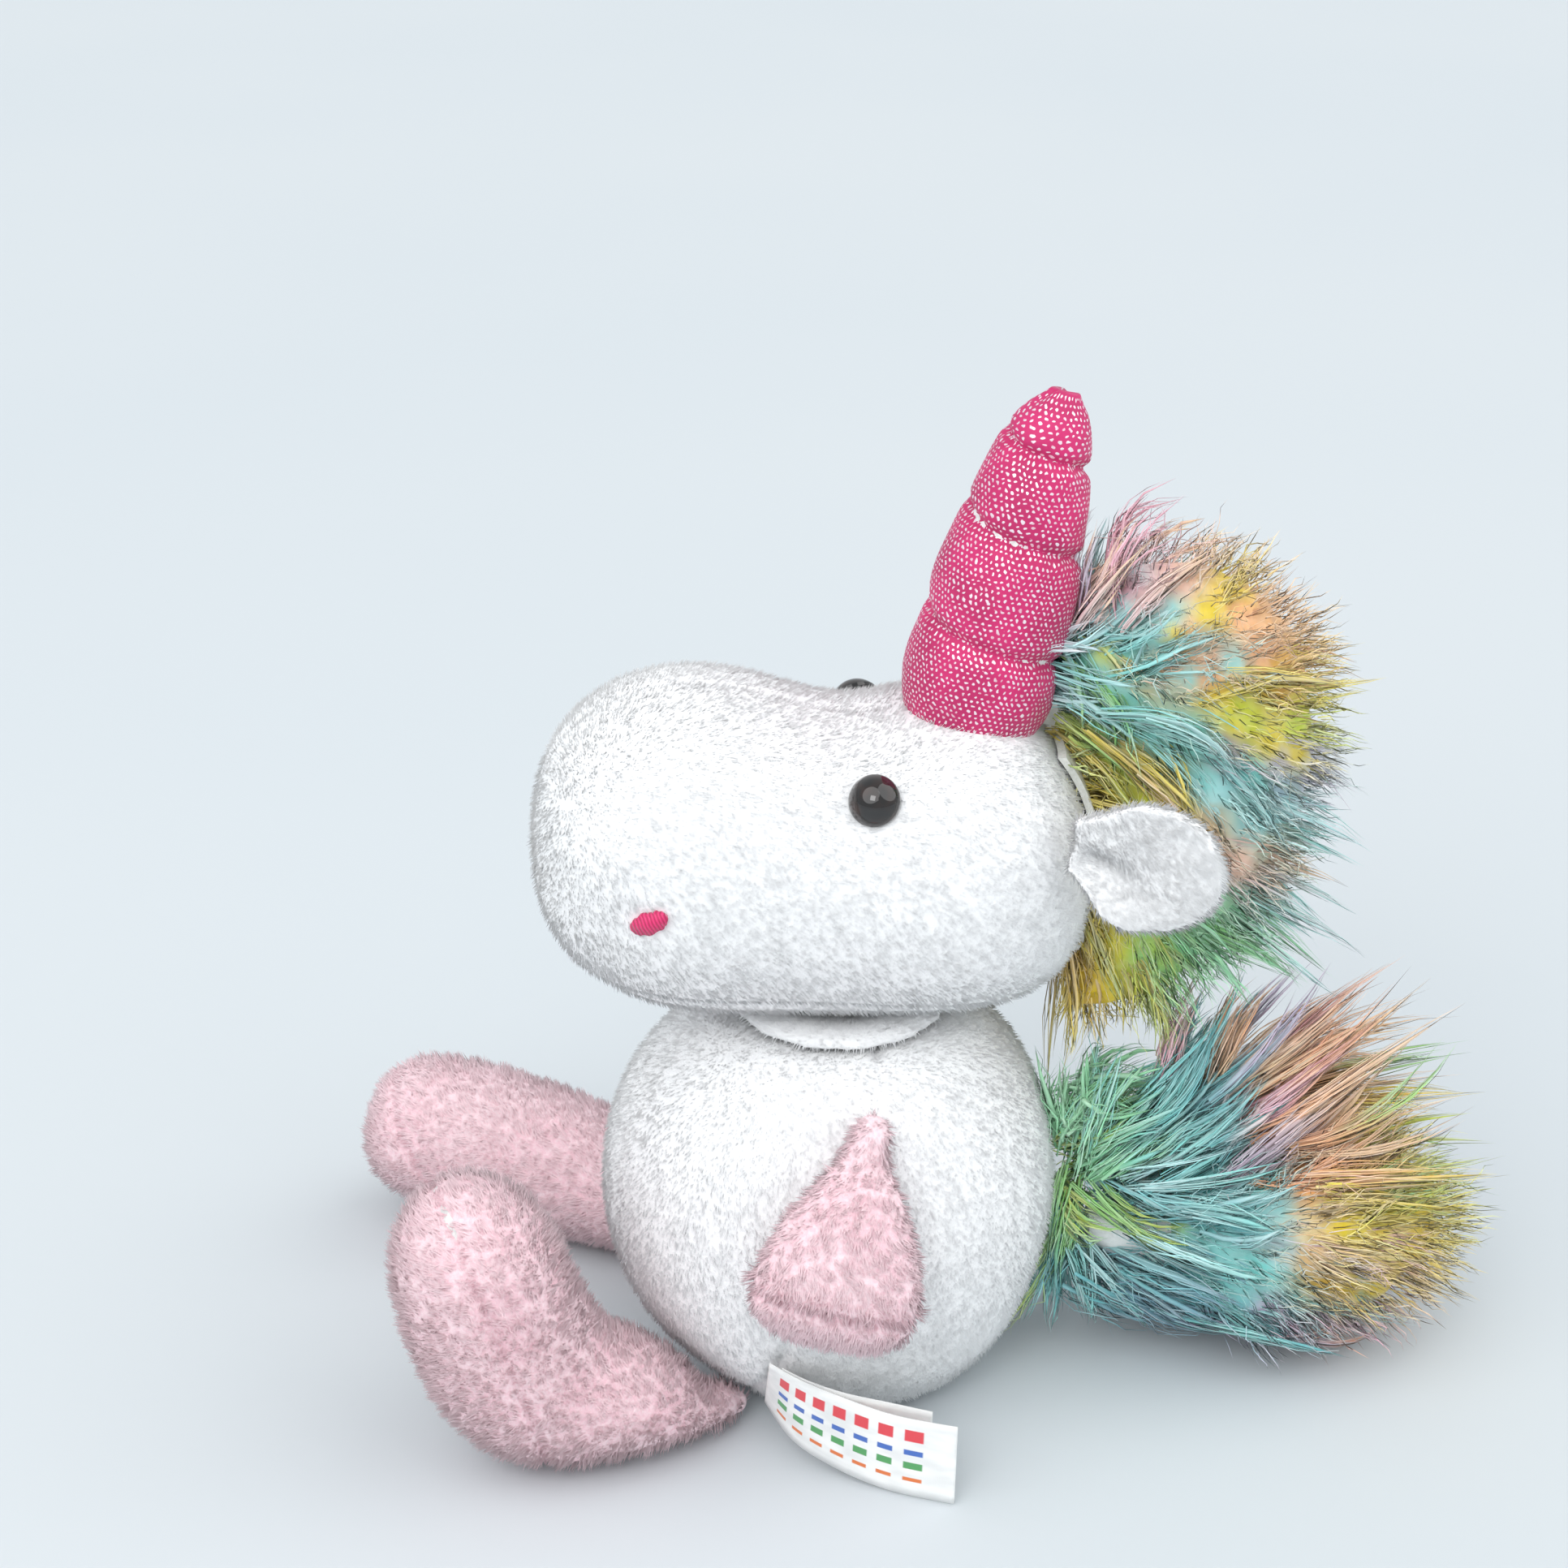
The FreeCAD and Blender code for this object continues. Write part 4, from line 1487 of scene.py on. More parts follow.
    def colour_near(self, points: np.ndarray, rng: np.random.Generator, depth: float) -> np.ndarray:
        """Blend the dyes of the nearest locks at each point.

        Args:
            points: Points in metres.
            rng: Random source.
            depth: How dark the colours are against the locks' own, about 1 for the same; below 1 is painted shade,
                above 1 is painted light.

        Returns:
            A colour per point.
        """
        dyes = []
        for lock in self.locks:
            first, last = np.array(lock.first.value), np.array(lock.last.value)
            dyes.extend(first * (1 - share) + last * share for share in (0.2, 0.5, 0.8))
        colours = self.nearness(points) @ np.array(dyes)
        colours *= rng.uniform(depth - 0.08, depth + 0.08, (len(points), 1))
        colours[:, 3] = 1.0
        return colours

    def hearts(self, guides: Guides, name: str, material: bpy.types.Material) -> None:
        """Give every lock a dense tapering heart under its loose fibres.

        Args:
            guides: The placed locks.
            name: The piece's name.
            material: The fibres' material.
        """
        rng = np.random.default_rng(self.seed + 21)
        levels, sides = 4, 5
        level_of, across, faces = spike_pattern(sides, levels)
        which = np.arange(len(guides.roots))
        share = np.tile(np.linspace(0.0, 0.93, levels + 1), (len(which), 1))
        paths = guides.at(which, share)
        ripple = 1 + 0.22 * rng.normal(0, 1, (len(which), len(level_of)))
        radius = swell_of(share) * guides.girths[:, None] * 0.2
        points, spread = self.swept(paths, level_of, across, radius[:, level_of] * ripple)
        # Painted shade: the hearts are coloured darker than the loose fibres, because they lie inside each lock.
        colours = self.tinted(guides, which, share, rng, 0.05)[:, level_of] * 0.9
        self.finish(name, points, faces, spread, colours, material)

    def strands(
        self, guides: Guides, name: str, material: bpy.types.Material, side: float, fibres: int
    ) -> None:
        """Lay loose fibres along locks.

        Args:
            guides: The placed locks.
            name: The piece's name.
            material: The fibres' material.
            side: Which side they are on, or 0 for both.
            fibres: How many.
        """
        rng = np.random.default_rng(self.seed + int(side) + 3)
        level_of, across, faces = spike_pattern(3, self.levels)
        reach = np.linalg.norm(guides.tips - guides.roots, axis=1)
        weight = guides.girths * reach
        which = rng.choice(len(weight), fibres, p=weight / weight.sum())
        begin = rng.uniform(0.0, 0.5, (fibres, 1)) ** 1.3
        end = np.clip(begin + rng.uniform(0.3, 0.75, (fibres, 1)), 0.5, 1.04)
        share = begin + (end - begin) * np.linspace(0, 1, self.levels + 1)[None]
        paths = guides.at(which, share)
        straight = unit(guides.tips - guides.roots)[which]
        one = unit(np.cross(straight, np.array((0.13, 0.21, 0.97))))
        two = np.cross(straight, one)
        turn = rng.uniform(0, 2 * math.pi, (fibres, 1)) + share * rng.normal(0, 1.3, (fibres, 1))
        out = np.sqrt(rng.uniform(0.12, 1.0, (fibres, 1))) * swell_of(share) * guides.girths[which][:, None]
        wild = (rng.random((fibres, 1)) < 0.1) * 1.0
        amount = guides.curls[which][:, None] * MM * rng.uniform(0.4, 1.3, (fibres, 1)) * (1 + 2.2 * wild)
        waves = rng.uniform(1.0, 2.6, (fibres, 1)) * 2 * math.pi * share + rng.uniform(0, 6, (fibres, 1))
        ease = np.sin(np.clip((share - begin) / (end - begin), 0, 1) * math.pi * 0.6)
        sway_one = (out * np.cos(turn) + amount * np.sin(waves) * ease)[:, :, None]
        sway_two = (out * np.sin(turn) + amount * np.cos(waves * 1.13) * ease)[:, :, None]
        offset = one[:, None] * sway_one + two[:, None] * sway_two
        paths = paths + offset
        radius = np.tile(self.thin * MM * rng.uniform(0.7, 1.5, (fibres, 1)), (1, self.levels + 1))
        radius = radius * (1 - 0.75 * np.linspace(0, 1, self.levels + 1)[None] ** 1.5)
        points, spread = self.swept(paths, level_of, across, radius[:, level_of])
        shading = unit(offset)[:, level_of] * 0.62 + spread * 0.3 + np.array((side * 0.12, 0.0, 0.12))
        colours = self.tinted(guides, which, share, rng, 0.1)[:, level_of]
        self.finish(name, points, faces, shading, colours, material)

    def swept(
        self, paths: np.ndarray, level_of: np.ndarray, across: np.ndarray, radius: np.ndarray
    ) -> tuple[np.ndarray, np.ndarray]:
        """Lay the pattern along each path.

        Args:
            paths: Rows by levels by three.
            level_of: Each pattern point's level.
            across: Each pattern point's place across.
            radius: Radius by row and pattern point.

        Returns:
            The points and the directions outwards from each path.
        """
        tangent = unit(np.gradient(paths, axis=1))
        side = unit(np.cross(tangent, np.array((0.31, 0.17, 0.93))))
        other = np.cross(tangent, side)
        spread = side[:, level_of] * across[None, :, :1] + other[:, level_of] * across[None, :, 1:]
        top = (level_of == level_of.max())[None, :, None]
        points = paths[:, level_of] + spread * radius[:, :, None] * (1 - top)
        points[:, :, 2] = np.maximum(points[:, :, 2], 0.15 * MM)
        return points, spread

    def tinted(
        self, guides: Guides, which: np.ndarray, share: np.ndarray, rng: np.random.Generator, vary: float
    ) -> np.ndarray:
        """Blend each fibre's dye from its lock's first to its last.

        Args:
            guides: The placed locks.
            which: Each fibre's lock.
            share: How far along, by fibre and level.
            rng: Random source.
            vary: How much fibres differ.

        Returns:
            A colour by fibre and level.
        """
        blend = soft_step(share * 1.5 - 0.3 + rng.normal(0, 0.12, (len(which), 1)))[:, :, None]
        colours = guides.firsts[which][:, None] * (1 - blend) + guides.lasts[which][:, None] * blend
        colours = colours * (1 + rng.normal(0, vary, (len(which), 1, 1)))
        # Random fibres are whitened: partly the paler fibres of the real pile, partly painted highlight.
        pale = 0.03 + rng.uniform(0, 0.45, (len(which), 1, 1)) ** 1.6
        colours = np.clip(colours * (1 - pale) + pale, 0, 1) ** 0.86
        colours[:, :, 3] = 1.0
        return colours

    def finish(
        self, name: str, points: np.ndarray, faces: list, shading: np.ndarray, colours: np.ndarray, material: Any
    ) -> None:
        """Make the piece and hand it to its body.

        Args:
            name: The piece's name.
            points: Copies by points by three.
            faces: The pattern's faces.
            shading: Shading normals.
            colours: Colours.
            material: The fibres' material.
        """
        piece = copied_out(name, points, faces, shading, np.clip(colours, 0, 1))
        dress(piece, material)
        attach(piece, self.body)
        LOG.info("%s: %d copies", name, len(points))


MANE_LOCKS = (
    Lock((35, 158), (49, 162), 4.6, Dye.PALE_AQUA, Dye.MIST, 0.05),
    Lock((37, 153), (53, 152), 5.2, Dye.AQUA, Dye.PALE_AQUA, 0.05),
    Lock((40, 148), (56, 143), 5.4, Dye.PALE_AQUA, Dye.AQUA, 0.05),
    Lock((43, 142), (58, 134), 5.4, Dye.LIME, Dye.GREEN, 0.05),
    Lock((45, 136), (60, 126), 5.4, Dye.YELLOW, Dye.LIME, 0.05),
    Lock((46, 129), (61, 119), 5.4, Dye.YELLOW, Dye.MUSTARD, 0.05),
    Lock((46, 121), (59, 111), 5.2, Dye.MUSTARD, Dye.PEACH, 0.05),
    Lock((40, 160), (43, 186), 2.6, Dye.LILAC, Dye.MIST, 0.06),
    Lock((43, 163), (49, 184), 3.4, Dye.LILAC, Dye.MIST, 0.08),
    Lock((45, 160), (54, 180), 5.0, Dye.BLUSH, Dye.PEACH, 0.10),
    Lock((50, 166), (66, 186), 3.6, Dye.PINK, Dye.PINK, 0.22, 0.9),
    Lock((52, 165), (73, 179), 4.4, Dye.BLUSH, Dye.PEACH, 0.06, 0.9),
    Lock((47, 158), (55, 175), 6.0, Dye.PALE_AQUA, Dye.PALE_AQUA, 0.05),
    Lock((49, 156), (63, 169), 5.6, Dye.AQUA, Dye.PALE_AQUA, 0.05),
    Lock((58, 160), (77, 172), 2.6, Dye.YELLOW, Dye.YELLOW, -0.03, 0.3),
    Lock((58, 161), (89, 170), 2.0, Dye.ORANGE, Dye.PEACH, -0.05, 0.3),
    Lock((62, 152), (92, 166), 1.8, Dye.ORANGE, Dye.PEACH, -0.08, 0.3),
    Lock((50, 154), (70, 163), 4.8, Dye.AQUA, Dye.PALE_AQUA),
    Lock((50, 152), (77, 159), 5.2, Dye.AQUA, Dye.PALE_AQUA, 0.08),
    Lock((56, 155), (70, 161), 2.4, Dye.ORANGE, Dye.ORANGE),
    Lock((62, 152), (100, 152), 5.4, Dye.YELLOW, Dye.YELLOW, 0.05, 0.4),
    Lock((66, 149), (103, 147), 4.2, Dye.LIME, Dye.YELLOW, 0.0, 0.3),
    Lock((78, 152), (96, 151), 3.0, Dye.ORANGE, Dye.PEACH, 0.05, 0.3),
    Lock((68, 147), (103, 141), 2.2, Dye.LIME, Dye.LIME, 0.0, 0.3),
    Lock((70, 148), (89, 136), 2.6, Dye.YELLOW, Dye.YELLOW, 0.12, 0.3),
    Lock((64, 143), (100, 132), 5.0, Dye.MAUVE, Dye.MIST, 0.04),
    Lock((68, 139), (97, 127), 4.6, Dye.TEAL, Dye.MAUVE, 0.06),
    Lock((47, 155), (83, 131), 7.0, Dye.AQUA, Dye.AQUA, 0.14),
    Lock((50, 148), (84, 120), 7.4, Dye.AQUA, Dye.PALE_AQUA, 0.12),
    Lock((50, 144), (72, 117), 6.4, Dye.MUSTARD, Dye.PEACH, 0.08),
    Lock((50, 144), (65, 125), 5.4, Dye.MUSTARD, Dye.YELLOW, 0.06),
    Lock((43, 160), (52, 134), 5.0, Dye.AQUA, Dye.GREEN, 0.10),
    Lock((44, 154), (55, 136), 4.6, Dye.GREEN, Dye.MINT, 0.08),
    Lock((46, 160), (58, 150), 3.4, Dye.LIME, Dye.PEACH, 0.10),
    Lock((62, 136), (104, 117), 5.8, Dye.PALE_AQUA, Dye.PALE_AQUA, 0.06),
    Lock((60, 130), (103, 109), 4.4, Dye.PEACH, Dye.AQUA, 0.06, 0.4),
    Lock((58, 124), (92, 110), 6.2, Dye.BLUSH, Dye.PEACH, 0.06),
    Lock((62, 118), (103, 97), 4.0, Dye.BLUSH, Dye.AQUA, 0.05, 0.4),
    Lock((62, 114), (100, 87), 4.4, Dye.MINT, Dye.PALE_AQUA, 0.05, 0.4),
    Lock((58, 110), (91, 84), 5.8, Dye.GREEN, Dye.MINT, 0.06, 0.5),
    Lock((54, 108), (82, 88), 6.2, Dye.MINT, Dye.MINT, 0.10, 0.7),
    Lock((56, 104), (75, 74), 3.0, Dye.LIME, Dye.MINT, 0.06, 0.5),
    Lock((50, 104), (65, 68), 3.2, Dye.YELLOW, Dye.LIME, 0.10, 0.9),
    Lock((48, 106), (57, 65), 4.6, Dye.YELLOW, Dye.YELLOW, 0.08, 1.2),
    Lock((45, 104), (46, 68), 4.8, Dye.YELLOW_IN_SHADE, Dye.YELLOW, 0.06, 1.2),
    Lock((44, 102), (51, 78), 5.2, Dye.YELLOW, Dye.YELLOW_IN_SHADE, 0.10, 1.4),
    Lock((48, 110), (62, 84), 6.0, Dye.MUSTARD, Dye.LIME, 0.08, 1.0),
    Lock((54, 102), (70, 76), 4.0, Dye.GREEN, Dye.MINT, 0.06, 0.6),
    Lock((48, 124), (64, 106), 7.0, Dye.MUSTARD, Dye.PEACH, 0.05),
    Lock((50, 116), (74, 100), 7.0, Dye.BLUSH, Dye.MINT, 0.05),
)

TAIL_LOCKS = (
    Lock((47, 40), (28, 2), 4.4, Dye.GREEN, Dye.LIME, -0.08, 0.6),
    Lock((48, 34), (33, 3), 4.0, Dye.GREEN, Dye.LIME, -0.05, 0.6),
    Lock((49, 38), (42, 3), 5.0, Dye.GREEN, Dye.TEAL, -0.05, 0.6),
    Lock((48, 50), (44, 66), 6.0, Dye.MINT, Dye.MINT, 0.10, 0.6),
    Lock((48, 54), (62, 66), 7.0, Dye.MINT, Dye.MINT, 0.12, 0.7),
    Lock((47, 50), (60, 55), 6.0, Dye.LIME, Dye.GREEN, 0.06, 0.8),
    Lock((48, 41), (72, 36), 4.4, Dye.GREEN, Dye.LIME, -0.12, 0.6),
    Lock((47, 39), (60, 33), 5.4, Dye.LIME, Dye.GREEN, -0.05, 0.8),
    Lock((52, 41), (76, 62), 6.4, Dye.MINT, Dye.AQUA, 0.05, 0.6),
    Lock((62, 50), (82, 86), 4.0, Dye.AQUA, Dye.TEAL, -0.04, 0.4),
    Lock((66, 52), (96, 88), 4.0, Dye.TEAL, Dye.LILAC, -0.05, 0.4),
    Lock((64, 56), (74, 80), 5.0, Dye.AQUA, Dye.TEAL, 0.05, 0.5),
    Lock((66, 62), (73, 88), 3.2, Dye.PINK, Dye.BLUSH, 0.05, 0.7),
    Lock((76, 60), (84, 84), 2.6, Dye.PEACH, Dye.ORANGE, 0.05, 0.4),
    Lock((78, 56), (105, 81), 4.2, Dye.PEACH, Dye.ORANGE, 0.04, 0.4),
    Lock((82, 54), (110, 81), 4.0, Dye.PINK, Dye.ORANGE, 0.03, 0.4),
    Lock((84, 52), (119, 77), 4.4, Dye.ORANGE, Dye.PEACH, 0.03, 0.4),
    Lock((88, 50), (131, 72), 3.0, Dye.ORANGE, Dye.GREEN, -0.03, 0.3),
    Lock((90, 50), (130, 56), 2.2, Dye.PEACH, Dye.PEACH, -0.03, 0.3),
    Lock((84, 44), (129, 49), 6.4, Dye.ORANGE, Dye.YELLOW, 0.04, 0.5),
    Lock((86, 38), (138, 39), 5.0, Dye.PEACH, Dye.GREEN, 0.04, 0.5),
    Lock((92, 38), (129, 33), 6.0, Dye.YELLOW, Dye.YELLOW, 0.05, 0.5),
    Lock((86, 34), (126, 26), 6.2, Dye.PEACH, Dye.YELLOW, 0.03, 0.5),
    Lock((80, 34), (119, 29), 4.2, Dye.PALE_AQUA, Dye.PINK, 0.05, 0.5),
    Lock((58, 43), (94, 57), 2.8, Dye.PALE_AQUA, Dye.PALE_AQUA, 0.02, 0.3),
    Lock((58, 40), (95, 51), 3.0, Dye.PALE_AQUA, Dye.AQUA, 0.02, 0.3),
    Lock((58, 36), (89, 47), 7.0, Dye.TEAL, Dye.AQUA, 0.03, 0.7),
    Lock((68, 36), (92, 44), 6.6, Dye.TEAL, Dye.PALE_AQUA, 0.0, 0.7),
    Lock((54, 32), (92, 28), 7.4, Dye.PALE_AQUA, Dye.AQUA, 0.03, 1.0),
    Lock((68, 24), (115, 16), 6.0, Dye.AQUA, Dye.PALE_AQUA, 0.03, 0.6),
    Lock((70, 20), (108, 8), 5.4, Dye.AQUA, Dye.TEAL, 0.03, 0.6),
    Lock((80, 20), (121, 8), 4.8, Dye.LILAC, Dye.PINK, 0.03, 0.6),
    Lock((84, 12), (112, 3), 4.6, Dye.MAUVE, Dye.ORANGE, 0.03, 0.5),
    Lock((66, 15), (106, 3), 5.6, Dye.TEAL, Dye.SLATE, 0.04, 0.8),
    Lock((56, 20), (80, 8), 8.0, Dye.SLATE, Dye.SLATE, 0.02, 1.8),
    Lock((52, 23), (68, 4), 8.0, Dye.TEAL, Dye.SLATE, 0.02, 1.8),
    Lock((49, 28), (60, 2), 5.0, Dye.PALE_AQUA, Dye.AQUA, 0.06, 0.6),
    Lock((48, 28), (57, 3), 4.4, Dye.AQUA, Dye.PALE_AQUA, 0.03, 0.6),
    Lock((48, 32), (43, 3), 4.6, Dye.TEAL, Dye.AQUA, -0.04, 0.6),
    Lock((68, 14), (90, 3), 5.0, Dye.SLATE, Dye.LILAC, 0.03, 0.8),
    Lock((56, 24), (83, 16), 7.4, Dye.TEAL, Dye.SLATE, 0.05, 2.0),
    Lock((92, 26), (113, 18), 4.4, Dye.YELLOW_IN_SHADE, Dye.YELLOW, 0.0, 0.5),
    Lock((74, 44), (104, 62), 6.6, Dye.MAUVE, Dye.PEACH, 0.0, 0.9),
    Lock((78, 48), (96, 70), 6.0, Dye.TEAL, Dye.BLUSH, 0.0, 0.8),
    Lock((90, 44), (118, 58), 6.2, Dye.ORANGE, Dye.PEACH, 0.02, 0.6),
    Lock((94, 32), (132, 44), 4.4, Dye.YELLOW, Dye.LIME, 0.02, 0.5),
    Lock((62, 48), (88, 66), 6.0, Dye.AQUA, Dye.TEAL, 0.03, 0.6),
    Lock((50, 44), (58, 72), 4.0, Dye.MINT, Dye.AQUA, 0.05, 0.6),
)
MANE_ROWS = (
    (176.0, 54.0, 66.0, 5.0), (172.0, 48.0, 76.0, 10.5), (163.0, 44.0, 86.0, 15.0), (152.0, 44.0, 91.5, 17.5),
    (139.0, 46.0, 94.0, 18.5), (125.0, 46.0, 92.0, 18.5), (111.0, 44.0, 86.0, 17.5), (98.0, 42.0, 78.0, 15.5),
    (87.0, 42.0, 70.0, 12.5), (80.0, 42.0, 63.0, 9.0), (66.0, 42.0, 59.0, 6.0),
)
TAIL_ROWS = (
    (44.0, 20.0, 37.0, 8.0), (50.8, 12.0, 44.0, 10.0), (60.0, 8.0, 50.0, 17.0), (69.0, 5.0, 51.8, 25.0),
    (80.0, 1.4, 55.4, 30.0), (93.0, 1.0, 56.2, 31.2), (106.0, 2.0, 54.8, 28.8), (117.0, 5.0, 50.2, 23.6),
    (126.0, 9.8, 43.0, 16.6), (134.4, 21.0, 29.4, 4.0),
)


# ---- care label --------------------------------------------------------------------------------------------------


@dataclass
class Leaf:
    """One leaf of the satin label, between its lower and upper edge from the seam outwards; in millimetres."""

    name: str
    node: str
    lower: tuple[Point, ...]
    upper: tuple[Point, ...]
    flat: tuple[float, float]
    tape: SatinTape
    thick: float = 0.22
    along: int = 40
    up: int = 10

    def edge(self, rows: tuple[Point, ...], share: float) -> Vector:
        """A point of an edge, smooth between its rows.

        Args:
            rows: The edge's rows.
            share: How far along, 0 to 1.

        Returns:
            The point in millimetres.
        """
        place = share * (len(rows) - 1)
        index = min(int(place), len(rows) - 2)
        far = place - index
        knots = [Vector(rows[min(max(index + step, 0), len(rows) - 1)]) for step in (-1, 0, 1, 2)]
        start, end = knots[1], knots[2]
        leaving, arriving = (knots[2] - knots[0]) / 2, (knots[3] - knots[1]) / 2
        return (
            start * (2 * far ** 3 - 3 * far ** 2 + 1) + leaving * (far ** 3 - 2 * far ** 2 + far)
            + end * (3 * far ** 2 - 2 * far ** 3) + arriving * (far ** 3 - far ** 2)
        )

    def build(self) -> None:
        """Cut the leaf, lay it in its curve and give it thickness."""
        form = bmesh.new()
        bmesh.ops.create_grid(form, x_segments=self.along, y_segments=self.up, size=1.0)
        layer = form.loops.layers.uv.new("tape")
        for face in form.faces:
            for loop in face.loops:
                loop[layer].uv = ((loop.vert.co.x + 1) / 2, (loop.vert.co.y + 1) / 2)
        for vertex in form.verts:
            far, high = (vertex.co.x + 1) / 2, (vertex.co.y + 1) / 2
            low, top = self.edge(self.lower, far), self.edge(self.upper, far)
            vertex.co = (low.lerp(top, high)) * MM
        bmesh.ops.recalc_face_normals(form, faces=form.faces)
        piece = piece_from(form, self.name)
        solid = piece.modifiers.new("cloth", "SOLIDIFY")
        solid.thickness = self.thick * MM
        solid.offset = 0.0
        dress(piece, self.tape.material())
        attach(piece, "label")
        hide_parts(self.node)


# ---- the whole animal --------------------------------------------------------------------------------------------

WHITE = KnitBacking("white_plush_backing", dyed(250, 250, 250), dyed(242, 242, 243))
PINK = KnitBacking("pink_plush_backing", dyed(248, 222, 227), dyed(240, 200, 209))
WHITE_FIBRE = FibreFinish("white_pile", 0.9)
PINK_FIBRE = FibreFinish("pink_pile", 0.85)


def white_pile(count: int, comb: Point, length: float = 1.7) -> Pile:
    """Short white pile combed one way.

    Args:
        count: How many fibres in a layer.
        comb: The way it lies.
        length: Its length in millimetres.

    Returns:
        The pile.
    """
    return Pile(
        count, length, 0.14, comb, 0.55, 0.11, 0.15, 7,
        # Root, tip and darkest colour: the root is painted shade among the fibres, the darkest is painted shade in
        # seam creases.
        dyed(246, 246, 247), dyed(253, 253, 253), dyed(228, 229, 232), WHITE_FIBRE,
    )


def pink_pile(count: int, comb: Point, length: float = 2.8) -> Pile:
    """Pink pile, longer and tufted.

    Args:
        count: How many fibres in a layer.
        comb: The way it lies.
        length: Its length in millimetres.

    Returns:
        The pile.
    """
    return Pile(
        count, length, 0.2, comb, 0.5, 0.24, 0.45, 9,
        # Root, tip and darkest colour: the root is painted shade among the fibres, the darkest is painted shade in
        # seam creases.
        dyed(246, 206, 213), dyed(251, 221, 227), dyed(237, 182, 193), PINK_FIBRE,
    )


@dataclass
class Collar:
    """Soft ring of plush that closes the neck's crease; lengths in millimetres."""

    middle: float = 15.5
    height: float = 82.9
    girth: float = 5.4
    flatness: float = 0.36
    sides: int = 20
    steps: int = 64
    pleats: tuple[tuple[float, float, float], ...] = ((0.012, 13, 0.0), (0.008, 29, 1.0))

    def build(self) -> None:
        """Make the ring and its pile."""
        form = bmesh.new()
        squash = Matrix.Scale(self.flatness, 4, (0, 0, 1))
        upright = Matrix.Rotation(math.radians(90), 4, "X")
        place = Matrix.Translation(Vector((self.middle, 0, self.height)) * MM) @ squash @ upright
        ring = bmesh.ops.create_circle(form, segments=self.sides, radius=self.girth * MM, matrix=place)["verts"]
        bmesh.ops.spin(
            form, geom=ring + form.edges[:], axis=(0, 0, 1), cent=(0, 0, 0), steps=self.steps,
            angle=2 * math.pi, use_merge=True, use_duplicate=False,
        )
        bmesh.ops.remove_doubles(form, verts=form.verts, dist=1e-5)
        bmesh.ops.recalc_face_normals(form, faces=form.faces)
        for vertex in form.verts:
            angle = math.atan2(vertex.co.y, vertex.co.x)
            vertex.co.xy *= 1 + sum(depth * math.sin(angle * times + shift) for depth, times, shift in self.pleats)
        piece = piece_from(form, "neck_collar_skin")
        dress(piece, WHITE.material())
        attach(piece, "neck_collar")
        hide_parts("neck_gusset")
        pile = white_pile(3500, (0.0, 0.0, -1.0), 1.6)
        Skin("neck_collar", "neck_collar", (), (), "white_plush", WHITE, pile, seed=50, piece=piece).grow(0)


